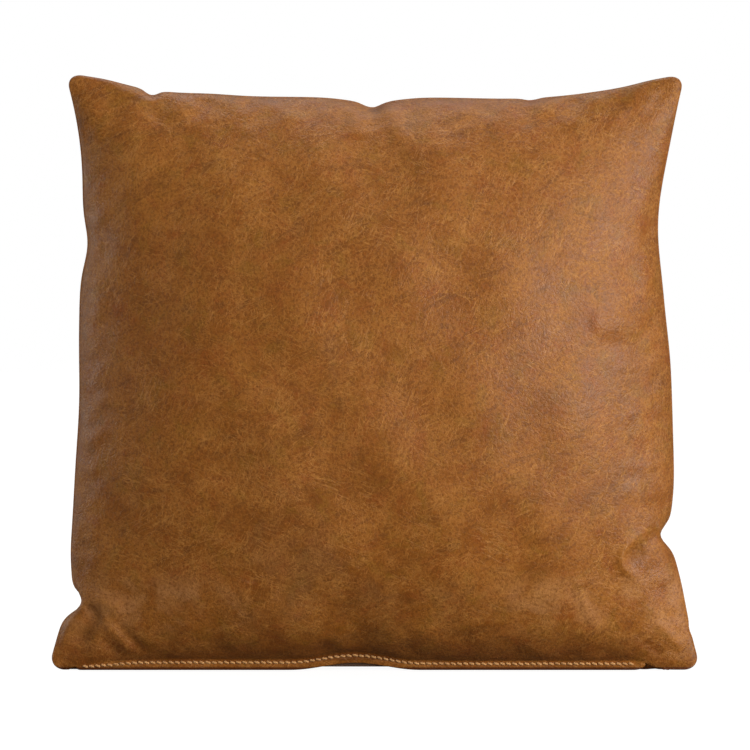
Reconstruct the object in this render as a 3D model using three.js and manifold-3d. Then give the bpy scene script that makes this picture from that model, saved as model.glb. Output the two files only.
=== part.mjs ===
// Throw pillow: a square leather cover with a zip in its bottom edge, and the stuffed insert that fills it.
// Millimetres. +X to the right, +Y to the back, +Z up. The pillow stands on its bottom edge, front to -Y.
// The origin is on the surface that it stands on, under the middle of the base.

import * as THREE from 'three';
import { mergeVertices } from 'three/addons/utils/BufferGeometryUtils.js';
import Module from 'manifold-3d';

// Cover: overall sizes
const coverHeight = 457;        // to where the edges would meet at the upper corners
const coverBottomWidth = 502;   // the same across the lower corners
const coverTopWidth = 476;      // the same across the upper corners
const coverThickness = 165;     // at the fullest place
const sideWaist = 17;           // how far each side edge pulls in between its corners
const topDip = 18;              // how far the top edge drops between its corners
const edgePower = 4;            // how late towards a corner an edge leaves its middle course
const cornerPull = 5;           // how far a corner's tip is drawn in, which rounds it
const cornerStart = 0.91;       // share of the way out to the tip where that starts
const crownPower = 2.4;         // how flat the middle of the pillow is: 2 is round, more is flatter
const crownEdge = 0.75;         // how steeply the panels leave the seams: less is steeper

// Leather, seams and the folded lips at the opening
const leatherThickness = 1.2;
const seamGap = 1.4;            // between the two panels along a closed seam
const seamNose = 0.9;           // how far the rounded fold stands out past the seam
const foldOuter = 1.5;          // leather thicknesses from the fold's inner side to its outer edge
const foldInner = 0.4;          // the same to its inner edge
const seamAllowance = 8;        // turned in behind a closed seam
const lipHeight = 4.5;          // from the row of stitches down to the folded edge
const lipGap = 6;               // between the two lips
const hemLift = 1.5;            // of the turned-in hem's upper edge over the stitches at their highest
const lipRunOut = 8;            // length over which a lip closes into the seam beside it
const lipFade = 6;              // how soon above the lips the gap between the panels is lost
const openingLeftMargin = 23;   // from the lower left corner to the opening
const openingRightMargin = 44;  // from the lower right corner to the opening
const humpRise = 5.5;           // the lips arch up a little near the middle
const humpPlace = -15;          // along X
const humpHalfWidth = 50;

// Threads
const seamThreadDiameter = 0.8;
const seamThreadInset = 2;      // in from the edge
const seamThreadEndGap = 9;     // left free at each corner
const seamThreadOpeningGap = 4; // left free beside the opening
const topstitchDiameter = 0.7;
const topstitchDrop = 1.3;      // of the bead below the line where the panel starts to swell
const topstitchEndGap = 4;
const topstitchSteps = 30;
const tackLength = 1.6;
const tackHeight = 2.5;
const tackLift = 1.5;           // above the folded edge
const tackEndGap = 1;           // from each end of the opening

// Zip
const chainLift = 7.8;          // of the chain's middle over the hem's upper edge
const coilWidth = 2.4;
const coilHeight = 2.2;
const dividerWay = 1.6;         // between the two coils, for the slider's divider
const tapeEndMargin = 10;       // from each end of the opening to the tapes
const tapeThickness = 0.5;
const tapeBulge = 1.05;         // how far the tapes stand clear of the slider where they turn in to the chain
const tapeFoot = 2.5;           // of the tapes' lower edge above the base
const tapeClearOfHem = 0.5;     // above the hem, where the tapes start to part
const tapeParting = 3.2;        // height over which they part
const tapeRounding = 0.6;       // how much less than the full bulge they have parted there
const tapeTurn = 1.8;           // height below the chain where they turn in
const tapeTurnIn = 0.8;         // how far in they have come at the chain's height
const stopLength = 2;
const stopHeight = 3.2;
const sliderLength = 9;
const sliderNarrowing = 1.2;    // of each side towards the closed end
const sliderNoseCut = 1;        // corners cut off at the closed end
const sliderMouthCut = 1.5;     // corners cut off where the halves enter
const wingThickness = 1;
const wingFlangeWidth = 0.8;
const wingFlangeDepth = 0.6;
const dividerLength = 2.2;
const dividerSetback = 0.4;     // from the slider's mouth
const weld = 0.2;               // how far joined parts of one piece run into each other
const bridgeLength = 6.4;
const bridgeDepth = 3;
const bridgeBar = 0.9;
const pullLength = 21.5;
const pullSideGap = 0.4;        // from the pull to each tape, where it hangs between them
const pullNeckIn = 0.5;         // how much the neck is narrower on each side
const pullThickness = 1;
const pullArmWidth = 0.7;
const pullEyeGap = 0.8;         // from the bridge's end to the eye's far side
const pullShoulder = 1.4;       // from the eye to where the tongue starts to narrow
const pullNeckStart = 4.4;      // from the eye to the neck
const pullNeckEnd = 8;          // from the tip to the neck
const pullTipLength = 5;
const pullHingeDrop = 1.1;      // of the pull's hinge below the slider
const pullHoleDiameter = 1.6;
const pullTipGap = 1;           // from the pull's tip to the bar tack that it swings past

// Insert
const tickingThickness = 0.6;
const insertSeamGap = 1.2;
const insertNose = 0.5;
const insertAllowance = 6;
const insertSideGap = 2.5;      // from the cover's turned-in allowance to the insert's edge
const insertLift = 1.6;         // of the insert's bottom edge above the slider
const coverSlack = 2;           // between the cover and the insert at the fullest place
const insertThreadDiameter = 0.6;
const insertThreadOpening = 0.02;  // share of the half width left between the thread's two ends
const insertThreadCorner = 0.97;   // share of an edge at which the thread rounds the corner
const fillingSlack = 1;

// Labels
const labelThickness = 0.4;
const labelDepth = 1;           // of a label's middle below the leather
const labelInset = 4;           // keeps a label clear of the leather where that turns in to the seam
const labelEdgeGap = 1;         // from the cover's turned-in allowance to a label
const careLabelWidth = 30;
const careLabelHeight = 46;
const careLabelBottom = 62;
const insertLabelWidth = 44;
const insertLabelHeight = 60;
const insertLabelBottom = 66;

// Shared clearances and fineness
const fit = 0.3;                // between pieces that touch or slide
const panelColumns = 24;
const panelRows = 18;
const insertCells = 14;
const labelCells = 4;
const curveSegments = 8;
const threadSegments = 3;       // to a half turn round a thread
const edgeLayers = 5;           // steps round the edge of a sewn panel
const easing = 0.55;            // how much the columns and rows draw together towards the edges

const front = -1;
const back = 1;
const toTheLeft = 1;
const toTheRight = -1;

const wasm = await Module();
wasm.setup();

// ---- Outline of the pillow, seen from the front ----

const coverHalfBottom = coverBottomWidth / 2 - seamNose;
const coverHalfTop = coverTopWidth / 2 - seamNose;
const openingLeft = -coverBottomWidth / 2 + openingLeftMargin;
const openingRight = coverBottomWidth / 2 - openingRightMargin;

const hemTop = lipHeight + humpRise + hemLift;

/** Half the width at a height above the base. */
function halfWidthAt(height) {
  const share = height / coverHeight;
  const straight = THREE.MathUtils.lerp(coverHalfBottom, coverHalfTop, share);
  return straight - sideWaist * (1 - (2 * share - 1) ** edgePower);
}

/** 1 along the opening, 0 along the seams beside it. */
function lipShare(x) {
  const outside = Math.max(openingLeft - x, x - openingRight, 0);
  return 1 - THREE.MathUtils.smoothstep(outside, 0, lipRunOut);
}

/** Height of the folded edge's arch above the base. */
function humpAt(x) {
  const along = THREE.MathUtils.clamp((x - humpPlace) / humpHalfWidth, -1, 1);
  return humpRise * Math.cos(along * Math.PI / 2) ** 2;
}

/** Height of the line from which the panels swell: the row of stitches, or the seam beside it. */
function bottomAt(across) {
  const x = across * coverHalfBottom;
  return THREE.MathUtils.lerp(seamNose, lipHeight, lipShare(x)) + humpAt(x);
}

/** Height of the top seam. */
function topAt(across) {
  return coverHeight - seamNose - topDip * (1 - across ** edgePower);
}

/**
 * A place on the pillow's middle plane. across and level run from -1 to 1 between the edges, inset
 * moves the edges in, and floor puts the bottom edge at a height of its own.
 */
function placeOnPlane(across, level, inset, floor = null) {
  const low = floor ?? bottomAt(across) + inset;
  const high = topAt(across) - inset;
  const height = THREE.MathUtils.lerp(low, high, (level + 1) / 2);
  const nearTip = Math.max((Math.abs(across * level) - cornerStart) / (1 - cornerStart), 0);
  const corner = cornerPull * nearTip ** 2;
  return {
    x: across * (halfWidthAt(height) - inset) - corner * Math.sign(across),
    z: height - corner * Math.sign(level),
  };
}

/** How full the pillow is, from 0 along its edges to 1 in the middle. */
function crownAt(across, level) {
  const full = (1 - Math.abs(across) ** crownPower) * (1 - Math.abs(level) ** crownPower);
  return Math.max(full, 0) ** crownEdge;
}

// ---- Sheets and stuffed bodies ----

/** Evenly spaced places from -1 to 1, drawn together towards the two ends. */
function easedPlace(place) {
  return THREE.MathUtils.lerp(place, 1.5 * place - 0.5 * place ** 3, easing);
}

/** The same, with the nearest column moved onto each end of the opening. */
function panelColumnPlace(place) {
  const step = 2 / panelColumns;
  const ends = [openingLeft / coverHalfBottom, openingRight / coverHalfBottom];
  for (const end of ends) {
    const even = evenPlaceOf(end);
    if (Math.abs(place - even) < step / 2) {
      return end;
    }
  }
  return easedPlace(place);
}

/** The evenly spaced place that easedPlace moves to the given one. */
function evenPlaceOf(eased) {
  let low = -1;
  let high = 1;
  const halvings = 40;
  for (let turn = 0; turn < halvings; turn += 1) {
    const middle = (low + high) / 2;
    if (easedPlace(middle) < eased) {
      low = middle;
    } else {
      high = middle;
    }
  }
  return (low + high) / 2;
}

/**
 * A box of segments, each of whose corners is put where place(across, level, layer) says. The
 * cells of its far side are cut along the same diagonal as the near side's, so a thin wall bent
 * in two directions keeps its thickness.
 */
function shapedBox(columns, rows, layers, place) {
  const box = new THREE.BoxGeometry(2, 2, 2, columns, rows, layers);
  const farSide = box.groups[5];
  const index = box.index.array;
  for (let i = farSide.start; i < farSide.start + farSide.count; i += 6) {
    const [a, b, d, , c] = index.subarray(i, i + 6);
    index.set([a, b, c, a, c, d], i);
  }
  box.deleteAttribute('normal');
  box.deleteAttribute('uv');
  const geometry = mergeVertices(box);
  const corners = geometry.attributes.position;
  for (let i = 0; i < corners.count; i += 1) {
    const layer = Math.round((1 - corners.getZ(i)) / 2 * layers);
    const spot = place(corners.getX(i), corners.getY(i), layer);
    corners.setXYZ(i, spot.x, spot.y, spot.z);
  }
  geometry.computeVertexNormals();
  return geometry;
}

/**
 * The edge of a sewn panel, from its outer face round the fold to its inner face: for each layer,
 * how far out of the outline it is, and how far from the pillow's middle plane.
 */
function edgeProfile(lip, thickness, seamHalfGap, nose, turnedIn) {
  const halfGap = THREE.MathUtils.lerp(seamHalfGap, lipGap / 2, lip);
  const reach = THREE.MathUtils.lerp(nose, lipHeight, lip);
  return [
    [0, halfGap + 2 * thickness],
    [reach, halfGap + THREE.MathUtils.lerp(foldOuter, 2, lip) * thickness],
    [reach, halfGap + THREE.MathUtils.lerp(foldInner, 0, lip) * thickness],
    [-turnedIn, halfGap],
    [-turnedIn, halfGap + thickness],
    [-thickness, halfGap + thickness],
  ];
}

/** Distance of the cover's outer face from the middle plane. */
function leatherDepth(across, level) {
  const lip = lipShare(across * coverHalfBottom) * ((1 - level) / 2) ** lipFade;
  const edge = THREE.MathUtils.lerp(seamGap / 2, lipGap / 2, lip) + 2 * leatherThickness;
  const swell = coverThickness / 2 - seamGap / 2 - 2 * leatherThickness;
  return edge + swell * crownAt(across, level);
}

/** One leather panel of the cover, with its seam allowances and its lip turned in. */
function coverPanelGeometry(side) {
  return shapedBox(panelColumns, panelRows, edgeLayers, (column, row, layer) => {
    const across = panelColumnPlace(-side * column);
    const level = easedPlace(row);
    const onBottom = level === -1 && Math.abs(across) < 1;
    const lip = onBottom ? lipShare(across * coverHalfBottom) : 0;
    const onEdge = Math.abs(level) === 1 || Math.abs(across) === 1;
    const turnedIn = THREE.MathUtils.lerp(seamAllowance, hemTop - bottomAt(across), lip);
    const profile = edgeProfile(lip, leatherThickness, seamGap / 2, seamNose, turnedIn);
    const inside = layer === edgeLayers;
    const edge = profile[layer];
    const inset = inside ? leatherThickness : -edge[0];
    const spot = placeOnPlane(across, level, onEdge || inside ? inset : 0);
    const depth = onEdge ? edge[1] : leatherDepth(across, level) - (inside ? leatherThickness : 0);
    return { x: spot.x, y: side * depth, z: spot.z };
  });
}

const insertInset = seamAllowance + insertSideGap;
const chainHeight = hemTop + chainLift;
const sliderHalfHeight = coilHeight / 2 + fit + wingThickness;
const insertFloor = chainHeight + sliderHalfHeight + insertLift;

/** Distance of the insert's outer face from the middle plane. */
function insertDepth(across, level) {
  const edge = insertSeamGap / 2 + 2 * tickingThickness;
  const swell = coverThickness / 2 - leatherThickness - coverSlack - edge;
  return edge + swell * crownAt(across, level);
}

/** One cotton panel of the insert's case, with its seam allowance turned in. */
function insertPanelGeometry(side) {
  return shapedBox(insertCells, insertCells, edgeLayers, (column, row, layer) => {
    const across = -side * easedPlace(column);
    const level = easedPlace(row);
    const onEdge = Math.abs(level) === 1 || Math.abs(across) === 1;
    const profile = edgeProfile(0, tickingThickness, insertSeamGap / 2, insertNose, insertAllowance);
    const inside = layer === edgeLayers;
    const edge = profile[layer];
    const inset = inside ? tickingThickness : -edge[0];
    const outline = onEdge || inside ? inset : 0;
    const spot = placeOnPlane(across, level, insertInset + outline, insertFloor + outline);
    const depth = onEdge ? edge[1] : insertDepth(across, level) - (inside ? tickingThickness : 0);
    return { x: spot.x, y: side * depth, z: spot.z };
  });
}

/** The filling: one soft body that the insert's case holds. */
function fillingGeometry() {
  const inset = insertAllowance + 2 * tickingThickness;
  return shapedBox(insertCells, insertCells, 1, (column, row, layer) => {
    const across = easedPlace(column);
    const level = easedPlace(row);
    const spot = placeOnPlane(across, level, insertInset + inset, insertFloor + inset);
    const swell = insertDepth(0, 0) - tickingThickness - fillingSlack - insertSeamGap / 2;
    const depth = insertSeamGap / 2 + swell * crownAt(across, level);
    return { x: spot.x, y: layer === 0 ? -depth : depth, z: spot.z };
  });
}

// ---- Threads ----

/** A round thread along a curve. */
function threadGeometry(points, diameter, steps) {
  const section = new THREE.Shape();
  section.absarc(0, 0, diameter / 2, 0, 2 * Math.PI);
  return new THREE.ExtrudeGeometry(section, {
    steps,
    curveSegments: threadSegments,
    extrudePath: new THREE.CatmullRomCurve3(points),
  });
}

/** Places along one edge of the outline, from one share of it to another. */
function edgePoints(from, to, count, inset, floor = null) {
  const points = [];
  for (let i = 0; i <= count; i += 1) {
    const across = THREE.MathUtils.lerp(from.across, to.across, i / count);
    const level = THREE.MathUtils.lerp(from.level, to.level, i / count);
    const spot = placeOnPlane(across, level, inset, floor);
    points.push(new THREE.Vector3(spot.x, 0, spot.z));
  }
  return points;
}

/** The thread of one closed seam of the cover. */
function seamThreadGeometry(from, to, count) {
  return threadGeometry(edgePoints(from, to, count, seamThreadInset), seamThreadDiameter, 2 * count);
}

/** The row of stitches along one lip. */
function topstitchGeometry(side) {
  const outwards = lipGap / 2 + 2 * leatherThickness + fit + topstitchDiameter / 2;
  const start = openingLeft + topstitchEndGap;
  const end = openingRight - topstitchEndGap;
  const points = [];
  for (let i = 0; i <= topstitchSteps; i += 1) {
    const x = THREE.MathUtils.lerp(start, end, i / topstitchSteps);
    points.push(new THREE.Vector3(x, side * outwards, bottomAt(x / coverHalfBottom) - topstitchDrop));
  }
  return threadGeometry(points, topstitchDiameter, topstitchSteps);
}

/** The insert's closing seam, all the way round from one side of its start to the other. */
function insertThreadGeometry() {
  const opening = insertThreadOpening;
  const tip = insertThreadCorner;
  const inset = insertInset + seamThreadInset;
  const floor = insertFloor + seamThreadInset;
  const corners = [
    { across: -opening, level: -1 },
    { across: -tip, level: -1 },
    { across: -1, level: -tip },
    { across: -1, level: tip },
    { across: -tip, level: 1 },
    { across: tip, level: 1 },
    { across: 1, level: tip },
    { across: 1, level: -tip },
    { across: tip, level: -1 },
    { across: opening, level: -1 },
  ];
  const pointsAlongEdge = 8;
  const points = [];
  for (let i = 0; i + 1 < corners.length; i += 1) {
    const alongEdge = i % 2 === 0;
    const stretch = edgePoints(corners[i], corners[i + 1], alongEdge ? pointsAlongEdge : 1, inset, floor);
    points.push(...(i === 0 ? stretch : stretch.slice(1)));
  }
  return threadGeometry(points, insertThreadDiameter, 2 * points.length);
}

// ---- Zip ----

const tapeHang = lipGap / 2 - fit - tapeThickness / 2;
const pullWidth = 2 * (tapeHang - tapeThickness / 2 - pullSideGap);
const bridgeWidth = pullWidth - 2 * (pullArmWidth + fit);
const hingeHeight = chainHeight - sliderHalfHeight - pullHingeDrop;
const pullSweep = Math.sqrt(pullLength ** 2 - (hingeHeight - tackLift - tackHeight) ** 2);
const sliderEndGap = stopLength + fit + sliderLength / 2;
const chainEndMargin = tackEndGap + tackLength + pullTipGap + pullSweep - sliderEndGap;
const tapeLeft = openingLeft + tapeEndMargin;
const tapeRight = openingRight - tapeEndMargin;
const chainLeft = openingLeft + chainEndMargin;
const chainRight = openingRight - chainEndMargin;
const coilInner = dividerWay / 2;
const coilOuter = coilInner + coilWidth;
const sliderHalfWidth = coilOuter + fit + wingFlangeWidth;
const sliderPlace = chainRight - sliderEndGap;

/** A prism of an outline in Y and Z, run along X. */
function prismAlongX(outline, from, to) {
  const geometry = new THREE.ExtrudeGeometry(outline, { depth: to - from, bevelEnabled: false });
  geometry.rotateY(Math.PI / 2);
  geometry.rotateX(Math.PI / 2);
  geometry.translate(from, 0, 0);
  return geometry;
}

/** An outline through the given corners. */
function outlineOf(corners) {
  return new THREE.Shape(corners.map(([a, b]) => new THREE.Vector2(a, b)));
}

/** A rectangle between two opposite corners. */
function rectangle(lowA, lowB, highA, highB) {
  return outlineOf([[lowA, lowB], [highA, lowB], [highA, highB], [lowA, highB]]);
}

/** A strip of even thickness along the given places, as an outline. */
function stripOutline(places, thickness) {
  const left = [];
  const right = [];
  places.forEach((place, i) => {
    const before = places[Math.max(i - 1, 0)];
    const after = places[Math.min(i + 1, places.length - 1)];
    const inward = new THREE.Vector2().subVectors(place, before).normalize();
    const outward = new THREE.Vector2().subVectors(after, place).normalize();
    const along = new THREE.Vector2().addVectors(inward, outward).normalize();
    const normal = new THREE.Vector2(-along.y, along.x);
    const last = i === places.length - 1;
    const mitre = last ? 1 : normal.dot(new THREE.Vector2(-outward.y, outward.x));
    const reach = thickness / 2 / mitre;
    left.push(place.clone().addScaledVector(normal, reach));
    right.unshift(place.clone().addScaledVector(normal, -reach));
  });
  return new THREE.Shape([...left, ...right]);
}

/** One zip tape: it hangs behind its lip and turns in to the chain above. */
function zipTapeGeometry(side) {
  const bulge = sliderHalfWidth + tapeBulge + tapeThickness / 2;
  const places = [
    new THREE.Vector2(tapeHang, tapeFoot),
    new THREE.Vector2(tapeHang, hemTop + tapeClearOfHem),
    new THREE.Vector2(bulge - tapeRounding, hemTop + tapeClearOfHem + tapeParting),
    new THREE.Vector2(bulge, chainHeight - tapeTurn),
    new THREE.Vector2(bulge - tapeTurnIn, chainHeight),
    new THREE.Vector2(coilOuter + fit, chainHeight),
  ];
  places.forEach((place) => place.setX(side * place.x));
  if (side === back) {
    places.reverse();
  }
  return prismAlongX(stripOutline(places, tapeThickness), tapeLeft, tapeRight);
}

/** One half of the chain. */
function zipCoilGeometry(side) {
  const low = chainHeight - coilHeight / 2;
  const near = Math.min(side * coilInner, side * coilOuter);
  const section = rectangle(near, low, near + coilWidth, low + coilHeight);
  return prismAlongX(section, chainLeft + stopLength + fit, chainRight - stopLength - fit);
}

/** The stop at the closed end of one half of the chain. */
function topStopGeometry(side) {
  const near = Math.min(side * coilInner, side * coilOuter);
  const low = chainHeight - stopHeight / 2;
  const section = rectangle(near, low, near + coilWidth, low + stopHeight);
  return prismAlongX(section, chainRight - stopLength, chainRight);
}

/** The stop across both halves at the open end. */
function bottomStopGeometry() {
  const low = chainHeight - stopHeight / 2;
  const section = rectangle(-coilOuter, low, coilOuter, low + stopHeight);
  return prismAlongX(section, chainLeft, chainLeft + stopLength);
}

/** A bar tack that closes one end of the opening, between the lips. */
function tackGeometry(from) {
  const reach = lipGap / 2 - fit;
  return prismAlongX(rectangle(-reach, tackLift, reach, tackLift + tackHeight), from, from + tackLength);
}

/** A closed geometry as a solid that can be joined and cut. */
function solidOf(geometry) {
  const plain = geometry.clone();
  plain.deleteAttribute('normal');
  plain.deleteAttribute('uv');
  const merged = mergeVertices(plain);
  return new wasm.Manifold(new wasm.Mesh({
    numProp: 3,
    vertProperties: Float32Array.from(merged.attributes.position.array),
    triVerts: Uint32Array.from(merged.index.array),
  }));
}

/** A solid as a geometry. */
function geometryOf(solid) {
  const mesh = solid.getMesh();
  const geometry = new THREE.BufferGeometry();
  geometry.setAttribute('position', new THREE.BufferAttribute(mesh.vertProperties, 3));
  geometry.setIndex(new THREE.BufferAttribute(mesh.triVerts, 1));
  geometry.computeVertexNormals();
  return geometry;
}

/** One wing of the slider: a plate with a flange along each side, above or below the chain. */
function wingSolid(direction) {
  const inner = coilHeight / 2 + fit;
  const outer = inner + wingThickness;
  const flange = inner - wingFlangeDepth;
  const channel = sliderHalfWidth - wingFlangeWidth;
  const corners = [
    [-sliderHalfWidth, outer],
    [-sliderHalfWidth, flange],
    [-channel, flange],
    [-channel, inner],
    [channel, inner],
    [channel, flange],
    [sliderHalfWidth, flange],
    [sliderHalfWidth, outer],
  ].map(([y, z]) => [y, direction * z]);
  return solidOf(prismAlongX(outlineOf(corners), -sliderLength / 2, sliderLength / 2));
}

/** The slider's outline from above: wide where the halves enter, narrower where they leave joined. */
function sliderPlanSolid() {
  const half = sliderLength / 2;
  const narrow = sliderHalfWidth - sliderNarrowing;
  const plan = outlineOf([
    [-half, -narrow + sliderNoseCut],
    [-half + sliderNoseCut, -narrow],
    [0, -sliderHalfWidth],
    [half - sliderMouthCut, -sliderHalfWidth],
    [half, -sliderHalfWidth + sliderMouthCut],
    [half, sliderHalfWidth - sliderMouthCut],
    [half - sliderMouthCut, sliderHalfWidth],
    [0, sliderHalfWidth],
    [-half + sliderNoseCut, narrow],
    [-half, narrow - sliderNoseCut],
  ]);
  const geometry = new THREE.ExtrudeGeometry(plan, { depth: 2 * sliderHalfHeight, bevelEnabled: false });
  geometry.translate(0, 0, -sliderHalfHeight);
  return solidOf(geometry);
}

/** The divider between the slider's wings, at the end where the halves enter. */
function dividerSolid() {
  const half = dividerWay / 2 - fit;
  const reach = coilHeight / 2 + fit + weld;
  const section = rectangle(-half, -reach, half, reach);
  const end = sliderLength / 2 - dividerSetback;
  return solidOf(prismAlongX(section, end - dividerLength, end));
}

/** The bridge under the slider, which the pull hangs on. */
function bridgeSolid() {
  const outer = bridgeLength / 2;
  const arch = new THREE.Shape();
  arch.moveTo(-outer, weld);
  arch.lineTo(-outer, 0);
  arch.absellipse(0, 0, outer, bridgeDepth, Math.PI, 2 * Math.PI, false);
  arch.lineTo(outer, weld);
  arch.lineTo(outer - bridgeBar, weld);
  arch.lineTo(outer - bridgeBar, 0);
  arch.absellipse(0, 0, outer - bridgeBar, bridgeDepth - bridgeBar, 0, Math.PI, true);
  arch.lineTo(-outer + bridgeBar, weld);
  const settings = { depth: bridgeWidth, bevelEnabled: false, curveSegments };
  const geometry = new THREE.ExtrudeGeometry(arch, settings);
  geometry.rotateX(Math.PI / 2);
  geometry.translate(0, bridgeWidth / 2, -sliderHalfHeight);
  return solidOf(geometry);
}

/** The whole slider, with its origin on the chain's middle line. */
function sliderGeometry() {
  const wings = wingSolid(1).add(wingSolid(-1)).intersect(sliderPlanSolid());
  return geometryOf(wings.add(dividerSolid()).add(bridgeSolid()));
}

/** The pull: a slim tongue with an eye round the bridge, with its origin on its hinge. */
function pullGeometry() {
  const half = pullWidth / 2;
  const neck = half - pullNeckIn;
  const bar = pullThickness / 2;
  const eyeEnd = -bridgeLength / 2 - pullEyeGap;
  const shoulder = eyeEnd - pullShoulder;
  const neckStart = eyeEnd - pullNeckStart;
  const neckEnd = -pullLength + pullNeckEnd;
  const tipStart = -pullLength + pullTipLength;
  const tipMiddle = -pullLength + half;
  const tongue = new THREE.Shape();
  tongue.moveTo(bar, -half);
  tongue.lineTo(bar, half);
  tongue.lineTo(shoulder, half);
  tongue.quadraticCurveTo((shoulder + neckStart) / 2, neck, neckStart, neck);
  tongue.quadraticCurveTo(neckEnd, neck, tipStart, half);
  tongue.absarc(tipMiddle, 0, half, Math.PI / 2, 1.5 * Math.PI, false);
  tongue.lineTo(tipStart, -half);
  tongue.quadraticCurveTo(neckEnd, -neck, neckStart, -neck);
  tongue.quadraticCurveTo((shoulder + neckStart) / 2, -neck, shoulder, -half);
  const eye = rectangle(eyeEnd, -half + pullArmWidth, -bar, half - pullArmWidth);
  tongue.holes.push(eye);
  const hole = new THREE.Path();
  hole.absarc(tipMiddle, 0, pullHoleDiameter / 2, 0, 2 * Math.PI, true);
  tongue.holes.push(hole);
  const settings = { depth: pullThickness, bevelEnabled: false, curveSegments };
  const geometry = new THREE.ExtrudeGeometry(tongue, settings);
  geometry.translate(0, 0, -pullThickness / 2);
  return geometry;
}

// ---- Labels ----

/** A blank label sewn into a side seam, lying between the cover and the insert at the back. */
function labelGeometry(direction, width, height, bottom) {
  return shapedBox(labelCells, labelCells, 1, (column, row, layer) => {
    const up = bottom + height * (row + 1) / 2;
    const level = 2 * up / coverHeight - 1;
    const reach = halfWidthAt(up) - seamAllowance - labelEdgeGap - width * (1 + direction * column) / 2;
    const across = -direction * reach / halfWidthAt(up);
    const middle = leatherDepth(across, level) - leatherThickness - labelDepth;
    const spot = placeOnPlane(across, level, labelInset);
    const through = layer === 0 ? -labelThickness / 2 : labelThickness / 2;
    return { x: spot.x, y: middle + through, z: spot.z };
  });
}

// ---- Materials ----

/** A soft, matt or slightly glossy material. */
function softMaterial(color, roughness) {
  return new THREE.MeshStandardMaterial({ color, roughness, metalness: 0 });
}

const leather = () => softMaterial(0x915c2e, 0.5);
const tanThread = () => softMaterial(0xc99a5e, 0.7);
const tapeWeave = () => softMaterial(0x4a3020, 0.9);
const coilNylon = () => softMaterial(0x55382a, 0.45);
const ticking = () => softMaterial(0xe9e4d8, 0.9);
const fibre = () => softMaterial(0xf4f2ec, 1);
const labelSatin = () => softMaterial(0xf1efe9, 0.6);

/** The finish of the zip's metal pieces. */
function antiqueBrass() {
  return new THREE.MeshStandardMaterial({ color: 0x8d6f42, roughness: 0.4, metalness: 0.9 });
}

/** A named piece. */
function piece(name, geometry, material) {
  const mesh = new THREE.Mesh(geometry, material);
  mesh.name = name;
  return mesh;
}

// ---- Assembly ----

const pillow = new THREE.Group();

const cover = new THREE.Group();
cover.add(piece('front_panel', coverPanelGeometry(front), leather()));
cover.add(piece('back_panel', coverPanelGeometry(back), leather()));
const topReach = 1 - seamThreadEndGap / coverHalfTop;
const sideReach = 1 - 2 * seamThreadEndGap / coverHeight;
const bottomReach = 1 - seamThreadEndGap / coverHalfBottom;
const leftSeamEnd = (openingLeft - seamThreadOpeningGap) / coverHalfBottom;
const rightSeamEnd = (openingRight + seamThreadOpeningGap) / coverHalfBottom;
const seams = {
  seam_thread_top: [{ across: -topReach, level: 1 }, { across: topReach, level: 1 }, 12],
  seam_thread_left: [{ across: -1, level: -sideReach }, { across: -1, level: sideReach }, 12],
  seam_thread_right: [{ across: 1, level: -sideReach }, { across: 1, level: sideReach }, 12],
  seam_thread_bottom_left: [{ across: -bottomReach, level: -1 }, { across: leftSeamEnd, level: -1 }, 2],
  seam_thread_bottom_right: [{ across: rightSeamEnd, level: -1 }, { across: bottomReach, level: -1 }, 3],
};
for (const [name, [from, to, count]] of Object.entries(seams)) {
  cover.add(piece(name, seamThreadGeometry(from, to, count), tanThread()));
}
cover.add(piece('topstitch_front', topstitchGeometry(front), tanThread()));
cover.add(piece('topstitch_back', topstitchGeometry(back), tanThread()));
const careLabel = labelGeometry(toTheLeft, careLabelWidth, careLabelHeight, careLabelBottom);
cover.add(piece('care_label', careLabel, labelSatin()));
pillow.add(cover);

const zip = new THREE.Group();
for (const [side, sideName] of [[front, 'front'], [back, 'back']]) {
  zip.add(piece(`zip_tape_${sideName}`, zipTapeGeometry(side), tapeWeave()));
  zip.add(piece(`zip_coil_${sideName}`, zipCoilGeometry(side), coilNylon()));
  zip.add(piece(`zip_top_stop_${sideName}`, topStopGeometry(side), antiqueBrass()));
}
zip.add(piece('zip_bottom_stop', bottomStopGeometry(), antiqueBrass()));
zip.add(piece('zip_tack_left', tackGeometry(openingLeft + tackEndGap), tanThread()));
zip.add(piece('zip_tack_right', tackGeometry(openingRight - tackEndGap - tackLength), tanThread()));
const runner = new THREE.Group();
runner.position.set(sliderPlace, 0, chainHeight);
runner.add(piece('zip_slider', sliderGeometry(), antiqueBrass()));
const pull = piece('zip_pull_tab', pullGeometry(), antiqueBrass());
pull.position.z = -sliderHalfHeight - pullHingeDrop;
runner.add(pull);
zip.add(runner);
pillow.add(zip);

const insert = new THREE.Group();
insert.add(piece('insert_front_panel', insertPanelGeometry(front), ticking()));
insert.add(piece('insert_back_panel', insertPanelGeometry(back), ticking()));
insert.add(piece('insert_seam_thread', insertThreadGeometry(), tanThread()));
insert.add(piece('insert_filling', fillingGeometry(), fibre()));
const insertLabel = labelGeometry(toTheRight, insertLabelWidth, insertLabelHeight, insertLabelBottom);
insert.add(piece('insert_label', insertLabel, labelSatin()));
pillow.add(insert);

export default pillow;
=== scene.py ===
"""A square leather throw pillow: its cover, its zip and its insert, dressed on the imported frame."""

import logging
import math
from dataclasses import dataclass, field
from enum import Enum
from typing import Any, Sequence

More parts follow.
